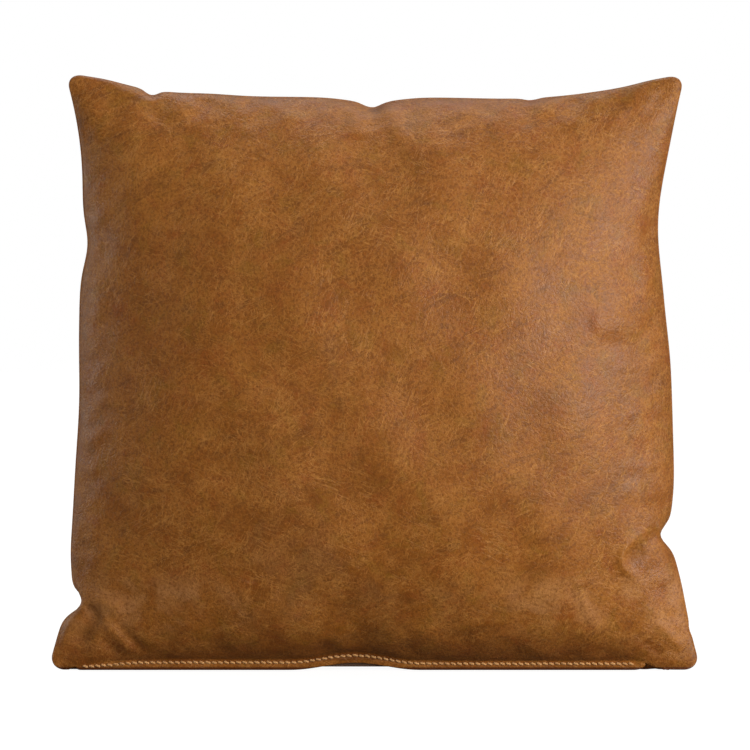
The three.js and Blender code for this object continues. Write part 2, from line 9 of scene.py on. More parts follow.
import bpy
import numpy as np
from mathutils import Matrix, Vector


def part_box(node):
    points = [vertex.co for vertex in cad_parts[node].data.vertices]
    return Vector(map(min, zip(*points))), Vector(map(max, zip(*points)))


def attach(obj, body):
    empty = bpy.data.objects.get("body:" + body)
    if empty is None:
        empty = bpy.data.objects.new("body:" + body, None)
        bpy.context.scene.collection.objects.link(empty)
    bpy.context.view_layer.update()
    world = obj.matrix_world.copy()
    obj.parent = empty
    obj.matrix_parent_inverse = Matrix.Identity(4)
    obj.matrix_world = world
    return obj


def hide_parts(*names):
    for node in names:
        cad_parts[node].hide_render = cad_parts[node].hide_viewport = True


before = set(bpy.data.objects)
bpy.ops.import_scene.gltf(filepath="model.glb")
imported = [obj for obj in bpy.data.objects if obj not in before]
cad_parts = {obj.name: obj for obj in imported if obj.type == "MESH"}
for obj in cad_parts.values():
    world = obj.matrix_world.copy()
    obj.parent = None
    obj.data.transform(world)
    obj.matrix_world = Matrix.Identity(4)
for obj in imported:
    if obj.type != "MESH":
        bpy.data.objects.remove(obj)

Array = np.ndarray
Socket = bpy.types.NodeSocket
Piece = bpy.types.Object
Material = bpy.types.Material
Colour = tuple[float, float, float]
Spot = tuple[Array, Array]

log = logging.getLogger("pillow")
PILLOW = "pillow"


class Side(Enum):
    """The two faces of the pillow, by the sign of their depth."""

    FRONT = -1
    BACK = 1

    @property
    def word(self) -> str:
        """The side's name as the pieces have it."""
        return self.name.lower()


class Slot(Enum):
    """The record's material slots of the modelled pieces."""

    LEATHER = "leather"
    THREAD = "tan_thread"
    COIL = "zip_coil"
    TICKING = "ticking"
    FILLING = "fibre_filling"
    SATIN = "label_satin"


# ---- Numbers and surfaces ----


def eased(value: Array, low: float, high: float) -> Array:
    """Rise smoothly from 0 at low to 1 at high.

    Args:
        value: Where on the scale.
        low: Where the rise starts.
        high: Where it ends.

    Returns:
        The share risen, between 0 and 1.
    """
    share = np.clip((np.asarray(value, float) - low) / (high - low), 0.0, 1.0)
    return share * share * (3.0 - 2.0 * share)


def bell(distance: Array, reach: float) -> Array:
    """A smooth bump.

    Args:
        distance: From its middle.
        reach: Where it has fallen to about a third; at twice this it is gone.

    Returns:
        Its height, 1 in the middle.
    """
    return np.exp(-((np.asarray(distance, float) / reach) ** 2))


def ripples(x: Array, z: Array, length: float, seed: int, count: int = 7) -> Array:
    """Gentle waves that run every way, the same at each run.

    Args:
        x: Places across.
        z: Places up.
        length: The waves' usual length.
        seed: Which pattern.
        count: How many waves are laid over each other.

    Returns:
        Heights of about -1 to 1.
    """
    rng = np.random.default_rng(seed)
    total = np.zeros_like(x)
    for _ in range(count):
        way = rng.uniform(0, math.tau)
        pitch = length * rng.uniform(0.7, 1.5)
        along = x * math.cos(way) + z * math.sin(way)
        total += np.cos(math.tau * along / pitch + rng.uniform(0, math.tau))
    return total / math.sqrt(count * 2)


def refined(points: Array, axis: int) -> Array:
    """Double the rows of a grid of points, smoothing it as it goes.

    Args:
        points: Grid of points, with the coordinates last.
        axis: Which way to double it.

    Returns:
        The finer grid, whose first and last rows are the old ones.
    """
    rows = np.moveaxis(points, axis, 0)
    fine = np.empty((2 * rows.shape[0] - 1, *rows.shape[1:]))
    fine[0::2] = rows
    fine[2:-2:2] = (rows[:-2] + 6 * rows[1:-1] + rows[2:]) / 8
    fine[1::2] = (rows[:-1] + rows[1:]) / 2
    return np.moveaxis(fine, 0, axis)


def grid_normals(points: Array) -> Array:
    """Unit normals of a grid of points.

    Args:
        points: The grid, which runs right and then up.

    Returns:
        The normals, on the side of -Y.
    """
    right = np.gradient(points, axis=0)
    up = np.gradient(points, axis=1)
    normal = np.cross(right, up)
    return normal / np.maximum(np.linalg.norm(normal, axis=2, keepdims=True), 1e-12)


@dataclass(frozen=True)
class Tuck:
    """A stretch of an edge that is drawn in or let out, as a pinch in the seam does.

    Attributes:
        place: Where along the edge.
        out: How far out it goes; in, when negative.
        reach: Half its length.
        flow: How far into the panel it is felt, as a share of its half width.
    """

    place: float
    out: float
    reach: float
    flow: float = 0.25


@dataclass(frozen=True)
class Crease:
    """A fold in a panel's face, along a curve through three places.

    Attributes:
        start: Where it starts, across and up.
        middle: A place on its way.
        end: Where it ends.
        height: Of its ridge; a groove's is negative.
        width: Half its width.
        dent: Depth of the hollow beside it, on the right of its way.
        dent_width: Half the hollow's width.
    """

    start: tuple[float, float]
    middle: tuple[float, float]
    end: tuple[float, float]
    height: float
    width: float
    dent: float = 0.0
    dent_width: float = 0.008

    def lift(self, x: Array, z: Array) -> Array:
        """How far the crease lifts the face.

        Args:
            x: Places across.
            z: Places up.

        Returns:
            Heights along the face's normal.
        """
        first, through, last = (np.array(p) for p in (self.start, self.middle, self.end))
        bend = 2 * through - (first + last) / 2
        steps = np.linspace(0, 1, 33)
        curve = [(1 - t) ** 2 * first + 2 * t * (1 - t) * bend + t * t * last for t in steps]
        nearest = np.full(x.shape, 1e9)
        share = np.zeros(x.shape)
        beside = np.zeros(x.shape)
        for t, here in zip(steps, curve):
            way = 2 * (1 - t) * (bend - first) + 2 * t * (last - bend)
            way = way / max(np.linalg.norm(way), 1e-9)
            dx, dz = x - here[0], z - here[1]
            away = np.hypot(dx, dz)
            closer = away < nearest
            nearest = np.where(closer, away, nearest)
            share = np.where(closer, t, share)
            beside = np.where(closer, dx * way[1] - dz * way[0], beside)
        ends = eased(share, 0.0, 0.22) * (1 - eased(share, 0.78, 1.0))
        ends = np.maximum(ends, 0.12)
        ridge = self.height * bell(nearest, self.width)
        hollow = self.dent * bell(nearest, 2.2 * self.dent_width)
        hollow = hollow * bell(beside - 1.5 * self.dent_width, self.dent_width)
        return (ridge - hollow) * ends


# ---- Meshes ----


def let_go() -> None:
    """Leave edit mode and deselect everything."""
    if bpy.context.object is not None and bpy.context.object.mode != "OBJECT":
        bpy.ops.object.mode_set(mode="OBJECT")
    bpy.ops.object.select_all(action="DESELECT")


def take_up(piece: Piece) -> None:
    """Select one piece alone and make it active.

    Args:
        piece: The piece.
    """
    let_go()
    piece.select_set(True)
    bpy.context.view_layer.objects.active = piece


def in_scene(name: str, data: Any) -> Piece:
    """Put a mesh, camera or light in the scene.

    Args:
        name: The new object's name.
        data: What it shows.

    Returns:
        The object.
    """
    thing = bpy.data.objects.new(name, data)
    bpy.context.scene.collection.objects.link(thing)
    return thing


def mesh_piece(name: str, vertices: Array, faces: Sequence[Sequence[int]]) -> Piece:
    """A smooth-shaded piece from its corners and faces.

    Args:
        name: The piece's name.
        vertices: Corners, in metres.
        faces: The corners' numbers, face by face.

    Returns:
        The piece, in the scene.
    """
    mesh = bpy.data.meshes.new(name)
    mesh.from_pydata([tuple(v) for v in vertices], [], [tuple(f) for f in faces])
    mesh.polygons.foreach_set("use_smooth", np.ones(len(mesh.polygons), bool))
    return in_scene(name, mesh)


def copies(name: str, pattern: Piece, places: Sequence[Spot]) -> Piece:
    """One piece made of many copies of a pattern, which is then thrown away.

    Args:
        name: The piece's name.
        pattern: What is copied, modelled round the origin.
        places: For each copy, where it goes and the three axes it lies along.

    Returns:
        The piece.
    """
    corners = np.array([v.co[:] for v in pattern.data.vertices])
    faces = [list(p.vertices) for p in pattern.data.polygons]
    vertices = np.vstack([corners @ np.asarray(turn) + spot for spot, turn in places])
    every = [[i + n * len(corners) for i in f] for n in range(len(places)) for f in faces]
    bpy.data.objects.remove(pattern, do_unlink=True)
    return mesh_piece(name, vertices, every)


def stitch_pattern(length: float, thickness: float) -> Piece:
    """One stitch along X: a short, round-ended length of plied thread.

    Args:
        length: From end to end.
        thickness: Across its middle.

    Returns:
        The pattern, round the origin.
    """
    let_go()
    bpy.ops.mesh.primitive_cylinder_add(
        vertices=8, radius=thickness / 2, depth=length * 0.7, rotation=(0, math.pi / 2, 0)
    )
    pattern = bpy.context.object
    bpy.ops.object.transform_apply(location=False, rotation=True, scale=False)
    bpy.ops.object.mode_set(mode="EDIT")
    bpy.ops.mesh.select_mode(type="FACE")
    for end in (-1, 1):
        for pull, shrink in ((0.09, 0.78), (0.06, 0.45)):
            bpy.ops.mesh.select_all(action="DESELECT")
            bpy.ops.object.mode_set(mode="OBJECT")
            for face in pattern.data.polygons:
                face.select = face.normal.x * end > 0.99
            bpy.ops.object.mode_set(mode="EDIT")
            bpy.ops.mesh.extrude_region_move(
                TRANSFORM_OT_translate={"value": (end * pull * length, 0, 0)}
            )
            bpy.ops.transform.resize(value=(1, shrink, shrink))
    bpy.ops.object.mode_set(mode="OBJECT")
    return pattern


def axes(along: Array, out: Array) -> Array:
    """Three axes for a copy.

    Args:
        along: Which way it runs.
        out: Which way is outwards, roughly.

    Returns:
        Along, across and outwards, as the rows of a matrix.
    """
    along = along / np.linalg.norm(along)
    across = np.cross(out, along)
    across = across / np.linalg.norm(across)
    return np.array([along, across, np.cross(along, across)])


def seam_run(x: Array, z: Array, pitch: float, half: float) -> list[Spot]:
    """Places for stitches along a seam on the middle plane.

    Args:
        x: The seam's places across.
        z: Its places up.
        pitch: From stitch to stitch, about.
        half: How far ahead and behind a stitch looks for its way.

    Returns:
        For each stitch, where it goes and the axes it lies along.
    """
    line = np.stack([x, 0 * x, z], 1)
    run = np.concatenate([[0], np.cumsum(np.linalg.norm(np.diff(line, axis=0), axis=1))])
    count = max(int(run[-1] / pitch), 1)
    places = []
    for number in range(count):
        middle = (number + 0.5) * run[-1] / count
        ends = [[np.interp(middle + d, run, line[:, k]) for k in range(3)] for d in (-half, half)]
        first, second = np.array(ends)
        places.append(((first + second) / 2, axes(second - first, np.array([0.0, 1.0, 0.0]))))
    return places


def finish_piece(
    piece: Piece, nodes: Sequence[str], materials: Sequence[Material]
) -> Piece:
    """Dress a piece, let it ride and hide the frame's nodes that it stands for.

    Args:
        piece: The piece.
        nodes: The frame's nodes that it stands for.
        materials: Its materials, in their order on the mesh.

    Returns:
        The same piece.
    """
    piece.data.materials.clear()
    for material in materials:
        piece.data.materials.append(material)
    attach(piece, PILLOW)
    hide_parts(*nodes)
    log.info("%s: %d faces", piece.name, len(piece.data.polygons))
    return piece


# ---- Finishes ----


class NodeSheet:
    """A node tree with short ways to add nodes and join them."""

    def __init__(self, tree: bpy.types.NodeTree) -> None:
        """Take up a tree."""
        self.tree = tree

    def join(self, value: Any, socket: Socket) -> None:
        """Link a value to an input, or set it there when it is a plain one.

        Args:
            value: A socket or a plain value.
            socket: The input.
        """
        if isinstance(value, bpy.types.NodeSocket):
            self.tree.links.new(value, socket)
        else:
            socket.default_value = value

    def add(self, kind: str, **settings: Any) -> bpy.types.Node:
        """Add a node.

        Args:
            kind: Its type.
            **settings: Its properties.

        Returns:
            The node.
        """
        node = self.tree.nodes.new(kind)
        for name, value in settings.items():
            setattr(node, name, value)
        return node

    def feed(self, node: bpy.types.Node, **inputs: Any) -> bpy.types.Node:
        """Set or link inputs of a node by name.

        Args:
            node: The node.
            **inputs: For each input, with _ for a space, a socket or a plain value.

        Returns:
            The same node.
        """
        for name, value in inputs.items():
            self.join(value, node.inputs[name.replace("_", " ")])
        return node

    def math(self, operation: str, first: Any, second: Any = 0.0, clamp: bool = False) -> Socket:
        """An operation on two numbers.

        Args:
            operation: Which.
            first: A number or a socket.
            second: A number or a socket.
            clamp: Whether the outcome is held between 0 and 1.

        Returns:
            The outcome.
        """
        node = self.add("ShaderNodeMath", operation=operation, use_clamp=clamp)
        for socket, value in zip(node.inputs, (first, second)):
            self.join(value, socket)
        return node.outputs[0]

    def times(self, first: Any, second: Any) -> Socket:
        """The product of two numbers."""
        return self.math("MULTIPLY", first, second)

    def plus(self, first: Any, second: Any) -> Socket:
        """The sum of two numbers."""
        return self.math("ADD", first, second)

    def split(self, where: Socket) -> Any:
        """A place's outputs X, Y and Z."""
        return self.feed(self.add("ShaderNodeSeparateXYZ"), Vector=where).outputs

    def spread(self, value: Socket, low: float, high: float, to_low: float = 0, to_high: float = 1) -> Socket:
        """Carry a number smoothly from one range to another, held at its ends.

        Args:
            value: The number.
            low: Start of its range.
            high: Its end.
            to_low: What the start becomes.
            to_high: What the end becomes.

        Returns:
            The carried number.
        """
        node = self.add("ShaderNodeMapRange", interpolation_type="SMOOTHSTEP")
        self.feed(node, Value=value, From_Min=low, From_Max=high, To_Min=to_low, To_Max=to_high)
        return node.outputs["Result"]

    def mix(self, share: Any, first: Any, second: Any) -> Socket:
        """A mixture of two colours.

        Args:
            share: How much of the second.
            first: A colour or a socket.
            second: A colour or a socket.

        Returns:
            The mixed colour.
        """
        node = self.add("ShaderNodeMix", data_type="RGBA")
        self.join(share, node.inputs[0])
        for number, color in ((6, first), (7, second)):
            self.join((*color, 1.0) if isinstance(color, tuple) else color, node.inputs[number])
        return node.outputs[2]

    def noise(
        self, where: Socket, scale: float, detail: float = 4.0, rough: float = 0.55, warp: float = 0.0
    ) -> Socket:
        """Soft noise.

        Args:
            where: The place.
            scale: Swells to the metre.
            detail: How many finer layers it has.
            rough: How strong they are.
            warp: How far it is bent.

        Returns:
            The noise.
        """
        node = self.add("ShaderNodeTexNoise")
        self.feed(node, Vector=where, Scale=scale, Detail=detail, Roughness=rough, Distortion=warp)
        return node.outputs["Fac"]

    def cells(self, where: Socket, scale: float) -> Socket:
        """Distance to the edges of cells, so many to the metre."""
        node = self.add("ShaderNodeTexVoronoi", feature="DISTANCE_TO_EDGE")
        self.feed(node, Vector=where, Scale=scale, Randomness=1.0)
        return node.outputs["Distance"]

    def turned(
        self,
        where: Socket,
        turn: Sequence[float] = (0, 0, 0),
        scale: Sequence[float] = (1, 1, 1),
        shift: Sequence[float] = (0, 0, 0),
    ) -> Socket:
        """The same place, stretched, turned and shifted.

        Args:
            where: The place.
            turn: Angles about X, Y and Z.
            scale: Stretch along each.
            shift: How far it moves along each.

        Returns:
            The new place.
        """
        node = self.add("ShaderNodeMapping")
        self.feed(node, Vector=where, Rotation=turn, Scale=scale, Location=shift)
        return node.outputs["Vector"]

    def place(self) -> Socket:
        """The place on the object, in metres."""
        return self.add("ShaderNodeTexCoord").outputs["Object"]

    def attribute(self, name: str) -> Socket:
        """A number kept on the mesh."""
        return self.add("ShaderNodeAttribute", attribute_name=name).outputs["Fac"]

    def surface(self, color: Socket, rough: Any, height: Socket, depth: float, **plain: Any) -> None:
        """End the material in a Principled surface with a bump.

        Args:
            color: Its colour.
            rough: Its roughness.
            height: Height of its relief, 0 to 1.
            depth: How deep the whole relief is, in metres.
            **plain: Other inputs, by name.
        """
        bump = self.feed(self.add("ShaderNodeBump"), Height=height, Strength=1.0, Distance=depth)
        shader = self.add("ShaderNodeBsdfPrincipled")
        self.feed(shader, Base_Color=color, Roughness=rough, Normal=bump.outputs["Normal"], **plain)
        output = self.add("ShaderNodeOutputMaterial")
        self.tree.links.new(shader.outputs["BSDF"], output.inputs["Surface"])


def fresh_material(name: str, viewport: Sequence[float]) -> tuple[Material, NodeSheet]:
    """An empty node material.

    Args:
        name: Its name.
        viewport: Its plain colour.

    Returns:
        The material and the sheet to draw it on.
    """
    material = bpy.data.materials.new(name)
    material.use_nodes = True
    material.node_tree.nodes.clear()
    material.diffuse_color = (*viewport, 1.0)
    return material, NodeSheet(material.node_tree)


def weave_group() -> bpy.types.NodeTree:
    """The over-and-under of a woven cloth, shared by the tapes, the case and the labels.

    Returns:
        A group that turns a place and a number of threads to the metre into a height.
    """
    group = bpy.data.node_groups.new("Woven threads", "ShaderNodeTree")
    group.interface.new_socket("Place", in_out="INPUT", socket_type="NodeSocketVector")
    group.interface.new_socket("Threads", in_out="INPUT", socket_type="NodeSocketFloat")
    group.interface.new_socket("Height", in_out="OUTPUT", socket_type="NodeSocketFloat")
    sheet = NodeSheet(group)
    inside = sheet.add("NodeGroupInput")
    split = sheet.split(inside.outputs["Place"])
    turn = sheet.times(inside.outputs["Threads"], math.pi)
    warp = sheet.times(split["X"], turn)
    weft = sheet.times(split["Y"], turn)
    over = sheet.math("ABSOLUTE", sheet.math("SINE", warp))
    under = sheet.math("ABSOLUTE", sheet.math("SINE", weft))
    which = sheet.times(sheet.math("COSINE", warp), sheet.math("COSINE", weft))
    share = sheet.spread(which, -0.4, 0.4)
    first = sheet.times(over, share)
    second = sheet.times(under, sheet.math("SUBTRACT", 1.0, share))
    outside = sheet.add("NodeGroupOutput")
    group.links.new(sheet.plus(first, second), outside.inputs["Height"])
    return group


@dataclass(frozen=True)
class Vein:
    """A net of fine lines in the leather.

    Attributes:
        cells: To the metre.
        width: Of a line, against its cell.
        full: Strength in a line's middle.
        patches: Scale, detail, roughness and bend of the noise that it shows in.
        rise: Where in that noise it comes up, from and to, and how strong it is there.
    """

    cells: float
    width: float
    full: float
    patches: tuple[float, ...]
    rise: tuple[float, ...]


@dataclass(frozen=True)
class PullUpLeather:
    """Waxed, distressed brown leather, which lightens where it is stretched; painted sheen, highlight and
    shade are mixed into its colour.

    Attributes:
        deep: Colour of the darkest clouds, smudges and specks.
        brown: The ground colour.
        russet: Of the reddish patches.
        olive: Of the greenish ones.
        caramel: Of the lighter clouds and the backs of folds.
        pale: Where the wax has pulled away: wrinkles and scratches.
        wax: Of the greyish bloom.
        painted_sheen: Where handling has rubbed it.
        ridge: Along a sharp fold.
        dark: Of the dye gathered at the hem.
        clouds: To the metre.
        cells: Of the wrinkles, to the metre.
        net: Cells of the light net, to the metre.
        grain: Pebbles to the metre.
        relief: Depth of the whole relief.
    """

    # deep: Colour of the darkest clouds, smudges and specks, and of the painted shade in grooves.
    deep: Colour = (0.150, 0.045, 0.0050)
    brown: Colour = (0.262, 0.083, 0.0085)
    russet: Colour = (0.245, 0.060, 0.0070)
    olive: Colour = (0.225, 0.092, 0.0070)
    # caramel: Of the lighter clouds, and of the backs of folds, where it is the pull-up's lightening with a
    # painted highlight.
    caramel: Colour = (0.360, 0.132, 0.0170)
    pale: Colour = (0.520, 0.225, 0.0500)
    wax: Colour = (0.190, 0.090, 0.0370)
    # rub: The painted sheen, in a broken band above the bottom seam.
    painted_sheen: Colour = (0.400, 0.175, 0.0600)
    # ridge: Of the painted highlight along a sharp fold, with the pull-up's lightening.
    ridge: Colour = (0.620, 0.360, 0.1700)
    # dark: Of the painted shade along the bottom and under the lip, and of the darkening near the seams.
    dark: Colour = (0.080, 0.018, 0.0026)
    clouds: float = 8.0
    cells: float = 60.0
    net: float = 250.0
    grain: float = 760.0
    relief: float = 0.00050

    def material(self) -> Material:
        """The leather's grain side."""
        material, sheet = fresh_material("Pull-up leather", self.brown)
        place = sheet.place()
        seam = sheet.attribute("seam")
        fold = sheet.attribute("fold")
        cloud = sheet.noise(place, self.clouds, 4.0, 0.55, 0.6)
        patch = sheet.noise(place, self.clouds * 4.5, 6.0, 0.68, 0.5)
        tone = sheet.plus(sheet.times(cloud, 0.45), sheet.times(patch, 0.55))
        color = sheet.mix(sheet.spread(tone, 0.34, 0.50, 0.35, 1.0), self.deep, self.brown)
        color = sheet.mix(sheet.spread(tone, 0.49, 0.66, 0.0, 0.60), color, self.caramel)
        hue = sheet.noise(sheet.turned(place, shift=(5.3, 2.2, 8.1)), 55.0, 5.0, 0.65, 0.6)
        color = sheet.mix(sheet.spread(hue, 0.50, 0.68, 0.0, 0.70), color, self.russet)
        color = sheet.mix(sheet.spread(hue, 0.49, 0.32, 0.0, 0.70), color, self.olive)
        slant = sheet.turned(sheet.turned(place, (0, 0.5, 0)), scale=(45.0, 60.0, 110.0))
        smudge = sheet.noise(slant, 1.0, 5.0, 0.68, 0.7)
        color = sheet.mix(sheet.spread(smudge, 0.52, 0.68, 0.0, 0.75), color, self.deep)
        waxed = sheet.noise(sheet.turned(place, shift=(3.1, 0.7, 1.9)), 15.0, 5.0, 0.62, 0.5)
        color = sheet.mix(sheet.spread(waxed, 0.56, 0.74, 0.0, 0.34), color, self.wax)
        net = self.net_of(sheet, place)
        # Painted sheen: a broken, paler band above the bottom seam.
        color = sheet.mix(self.sheen_and_wear(sheet, place), color, self.painted_sheen)
        color = sheet.mix(self.spot(sheet, place, (0.027, -0.03, 0.418), 0.017, 0.55), color, self.wax)
        color = sheet.mix(self.spot(sheet, place, (-0.001, -0.03, 0.419), 0.013, 0.45), color, self.pale)
        color = sheet.mix(sheet.times(net, 0.36), color, self.pale)
        speck = sheet.spread(sheet.noise(place, 460.0, 3.0, 0.7), 0.44, 0.66)
        color = sheet.mix(sheet.times(speck, 0.62), color, self.deep)
        crackle = self.crackle(sheet, place)
        color = sheet.mix(sheet.times(crackle, 0.13), color, self.pale)
        scratch = self.scratches(sheet, place)
        color = sheet.mix(sheet.times(scratch, 0.50), color, self.pale)
        # Pull-up lightening with a painted highlight along the ridges of the sharp creases, palest on the
        # highest.
        color = sheet.mix(sheet.spread(fold, 0.10, 0.80, 0.0, 0.28), color, self.caramel)
        broken = sheet.spread(sheet.noise(place, 260.0, 3.0, 0.6), 0.36, 0.56, 0.45, 1.0)
        sheen_and_wear = sheet.times(sheet.spread(fold, 0.72, 1.0, 0.0, 0.80), broken)
        color = sheet.mix(sheen_and_wear, color, self.ridge)
        # Painted shade in the grooves of the sharp creases.
        color = sheet.mix(sheet.spread(fold, -0.08, -0.9, 0.0, 0.35), color, self.deep)
        # Painted shade: a dark belt above the lip's stitches and a painted shadow under the lip; darker near
        # the seams too.
        color = sheet.mix(self.hem_shade(sheet, seam, place), color, self.dark)
        rough = sheet.plus(sheet.spread(patch, 0.35, 0.65, 0.40, 0.50), sheet.times(net, 0.07))
        height = self.height(sheet, place, crackle, scratch)
        sheet.surface(color, rough, height, self.relief, Specular_IOR_Level=0.36, IOR=1.48)
        return material

    def sheen_and_wear(self, sheet: NodeSheet, place: Socket) -> Socket:
        """The painted sheen: a broken, paler band above the bottom seam, stronger away from the middle.

        Args:
            sheet: The material's nodes.
            place: Where on the leather.

        Returns:
            How pale, 0 to 1.
        """
        split = sheet.split(place)
        off = sheet.math("ABSOLUTE", sheet.math("SUBTRACT", split["Z"], 0.053))
        band = sheet.spread(off, 0.008, 0.030, 0.75, 0.0)
        outer = sheet.spread(sheet.math("ABSOLUTE", split["X"]), 0.06, 0.13, 0.15, 1.0)
        broken = sheet.spread(sheet.noise(place, 30.0, 4.0, 0.6, 0.5), 0.40, 0.60)
        return sheet.times(sheet.times(band, outer), broken)

    def spot(
        self, sheet: NodeSheet, place: Socket, middle: Sequence[float], reach: float, share: float
    ) -> Socket:
        """How much of a soft, broken blemish there is.

        Args:
            sheet: The material's nodes.
            place: Where on the leather.
            middle: Its middle.
            reach: From there to its end.
            share: Its strength in the middle.

        Returns:
            The strength.
        """
        away = sheet.feed(sheet.add("ShaderNodeVectorMath", operation="DISTANCE"), Vector=place)
        away.inputs[1].default_value = middle
        broken = sheet.spread(sheet.noise(place, 120.0, 4.0, 0.65), 0.36, 0.60, 0.3, 1.0)
        return sheet.times(sheet.spread(away.outputs["Value"], 0.0, reach, share, 0.0), broken)

    def hem_shade(self, sheet: NodeSheet, seam: Socket, place: Socket) -> Socket:
        """The painted shade along the bottom and under the lip, and how much darker the leather is near the
        seams.

        Args:
            sheet: The material's nodes.
            seam: Distance from the nearest seam.
            place: Where on the leather.

        Returns:
            How dark, 0 to 1.
        """
        split = sheet.split(place)
        edge = sheet.spread(seam, 0.0, 0.014, 0.12, 0.0)
        # Painted shade of the lower face, which turns downwards; weaker towards the sides.
        belt = sheet.spread(split["Z"], 0.009, 0.040, 0.50, 0.0)
        above = sheet.spread(split["Z"], 0.0062, 0.0082)
        inner = sheet.spread(sheet.math("ABSOLUTE", split["X"]), 0.185, 0.232, 1.0, 0.30)
        belt = sheet.times(sheet.times(belt, above), inner)
        # Painted shadow along the underside of the lip.
        under = sheet.spread(split["Z"], 0.0014, 0.0032, 0.95, 0.0)
        return sheet.math("MAXIMUM", sheet.math("MAXIMUM", edge, under), belt)

    def veins(
        self, sheet: NodeSheet, place: Socket, wobble: tuple[float, float, float], nets: Sequence[Vein]
    ) -> Socket:
        """Nets of fine, bent lines, each in patches of its own.

        Args:
            sheet: The material's nodes.
            place: Where on the leather.
            wobble: Scale, detail and reach of the noise that bends the lines.
            nets: The nets.

        Returns:
            The strongest of them at the place.
        """
        scale, detail, reach = wobble
        bend = sheet.feed(sheet.add("ShaderNodeTexNoise"), Vector=place, Scale=scale, Detail=detail)
        bent = sheet.add("ShaderNodeVectorMath", operation="MULTIPLY_ADD")
        for value, socket in zip((bend.outputs["Color"], (reach, reach, reach), place), bent.inputs):
            sheet.join(value, socket)
        lines = []
        for net in nets:
            line = sheet.spread(sheet.cells(bent.outputs["Vector"], net.cells), 0.0, net.width, net.full, 0.0)
            patch = sheet.spread(sheet.noise(place, *net.patches), *net.rise)
            lines.append(sheet.times(line, patch))
        return sheet.math("MAXIMUM", *lines, True)

    def net_of(self, sheet: NodeSheet, place: Socket) -> Socket:
        """The light ridges between the grain's pebbles, where the wax has pulled away."""
        wide = Vein(self.net, 0.14, 1.0, (36.0, 4.0, 0.65), (0.36, 0.62, 0.10, 1.0))
        fine = Vein(self.net * 1.75, 0.20, 0.9, (70.0, 3.0, 0.6), (0.40, 0.62, 0.15, 1.0))
        return self.veins(sheet, place, (150.0, 2.0, 0.0045), (wide, fine))

    def crackle(self, sheet: NodeSheet, place: Socket) -> Socket:
        """The fine net of wrinkles that opens in worn leather."""
        wide = Vein(self.cells, 0.055, 1.0, (17.0, 4.0, 0.6), (0.44, 0.64))
        fine = Vein(self.cells * 2.7, 0.09, 1.0, (26.0, 4.0, 0.6, 0.4), (0.50, 0.66))
        return self.veins(sheet, place, (38.0, 3.0, 0.016), (wide, fine))

    def scratches(self, sheet: NodeSheet, place: Socket) -> Socket:
        """Hair-like scratches, most of them slanting up to the right.

        Args:
            sheet: The material's nodes.
            place: Where on the leather.

        Returns:
            How deep a scratch is there, 0 to 1.
        """
        total: Socket | None = None
        for turn, shift in ((0.50, 0.3), (-0.35, 1.7), (1.20, 4.1)):
            where = sheet.turned(place, (0, turn, 0), shift=(shift, 0, shift))
            fine = sheet.noise(sheet.turned(where, scale=(30.0, 60.0, 160.0)), 1.0, 3.0, 0.60, 0.45)
            off = sheet.math("ABSOLUTE", sheet.math("SUBTRACT", fine, 0.5))
            worn = sheet.spread(sheet.noise(where, 30.0, 3.0, 0.6), 0.42, 0.62)
            line = sheet.times(sheet.spread(off, 0.0, 0.020, 1.0, 0.0), worn)
            total = line if total is None else sheet.math("MAXIMUM", total, line)
        assert total is not None
        return total

    def height(self, sheet: NodeSheet, place: Socket, crackle: Socket, scratch: Socket) -> Socket:
        """The relief: pebbles of the grain, with the wrinkles and scratches sunk into them.

        Args:
            sheet: The material's nodes.
            place: Where on the leather.
            crackle: Strength of the wrinkles.
            scratch: Strength of the scratches.

        Returns:
            The height, in the relief's own units.
        """
        pebble = sheet.spread(sheet.cells(place, self.grain), 0.0, 0.35, 0.0, 0.14)
        coarse = sheet.spread(sheet.cells(place, self.net), 0.0, 0.30, 0.0, 0.20)
        pores = sheet.plus(coarse, sheet.times(sheet.noise(place, 1500.0, 2.0), 0.08))
        swell = sheet.times(sheet.noise(place, 85.0, 4.0, 0.6, 0.6), 0.70)
        sunk = sheet.times(sheet.math("MAXIMUM", crackle, scratch), -0.22)
        return sheet.plus(sheet.plus(pebble, pores), sheet.plus(swell, sunk))


@dataclass(frozen=True)
class FleshSide:
    """The back of the leather: raw, short-napped and dull.

    Attributes:
        nap: Colour of the raised nap.
        shade: Colour between it.
    """

    nap: Colour = (0.235, 0.130, 0.066)
    shade: Colour = (0.130, 0.066, 0.032)

    def material(self) -> Material:
        """The material of the panels' inner faces and cut edges."""
        material, sheet = fresh_material("Leather flesh side", self.nap)
        place = sheet.place()
        fluff = sheet.noise(place, 900.0, 4.0, 0.7)
        drift = sheet.noise(place, 45.0, 4.0, 0.6)
        color = sheet.mix(sheet.spread(drift, 0.35, 0.65), self.shade, self.nap)
        color = sheet.mix(sheet.spread(fluff, 0.50, 0.70, 0.0, 0.4), color, self.nap)
        height = sheet.plus(fluff, sheet.times(drift, 0.4))
        sheet.surface(color, 0.95, height, 0.0003)
        return material


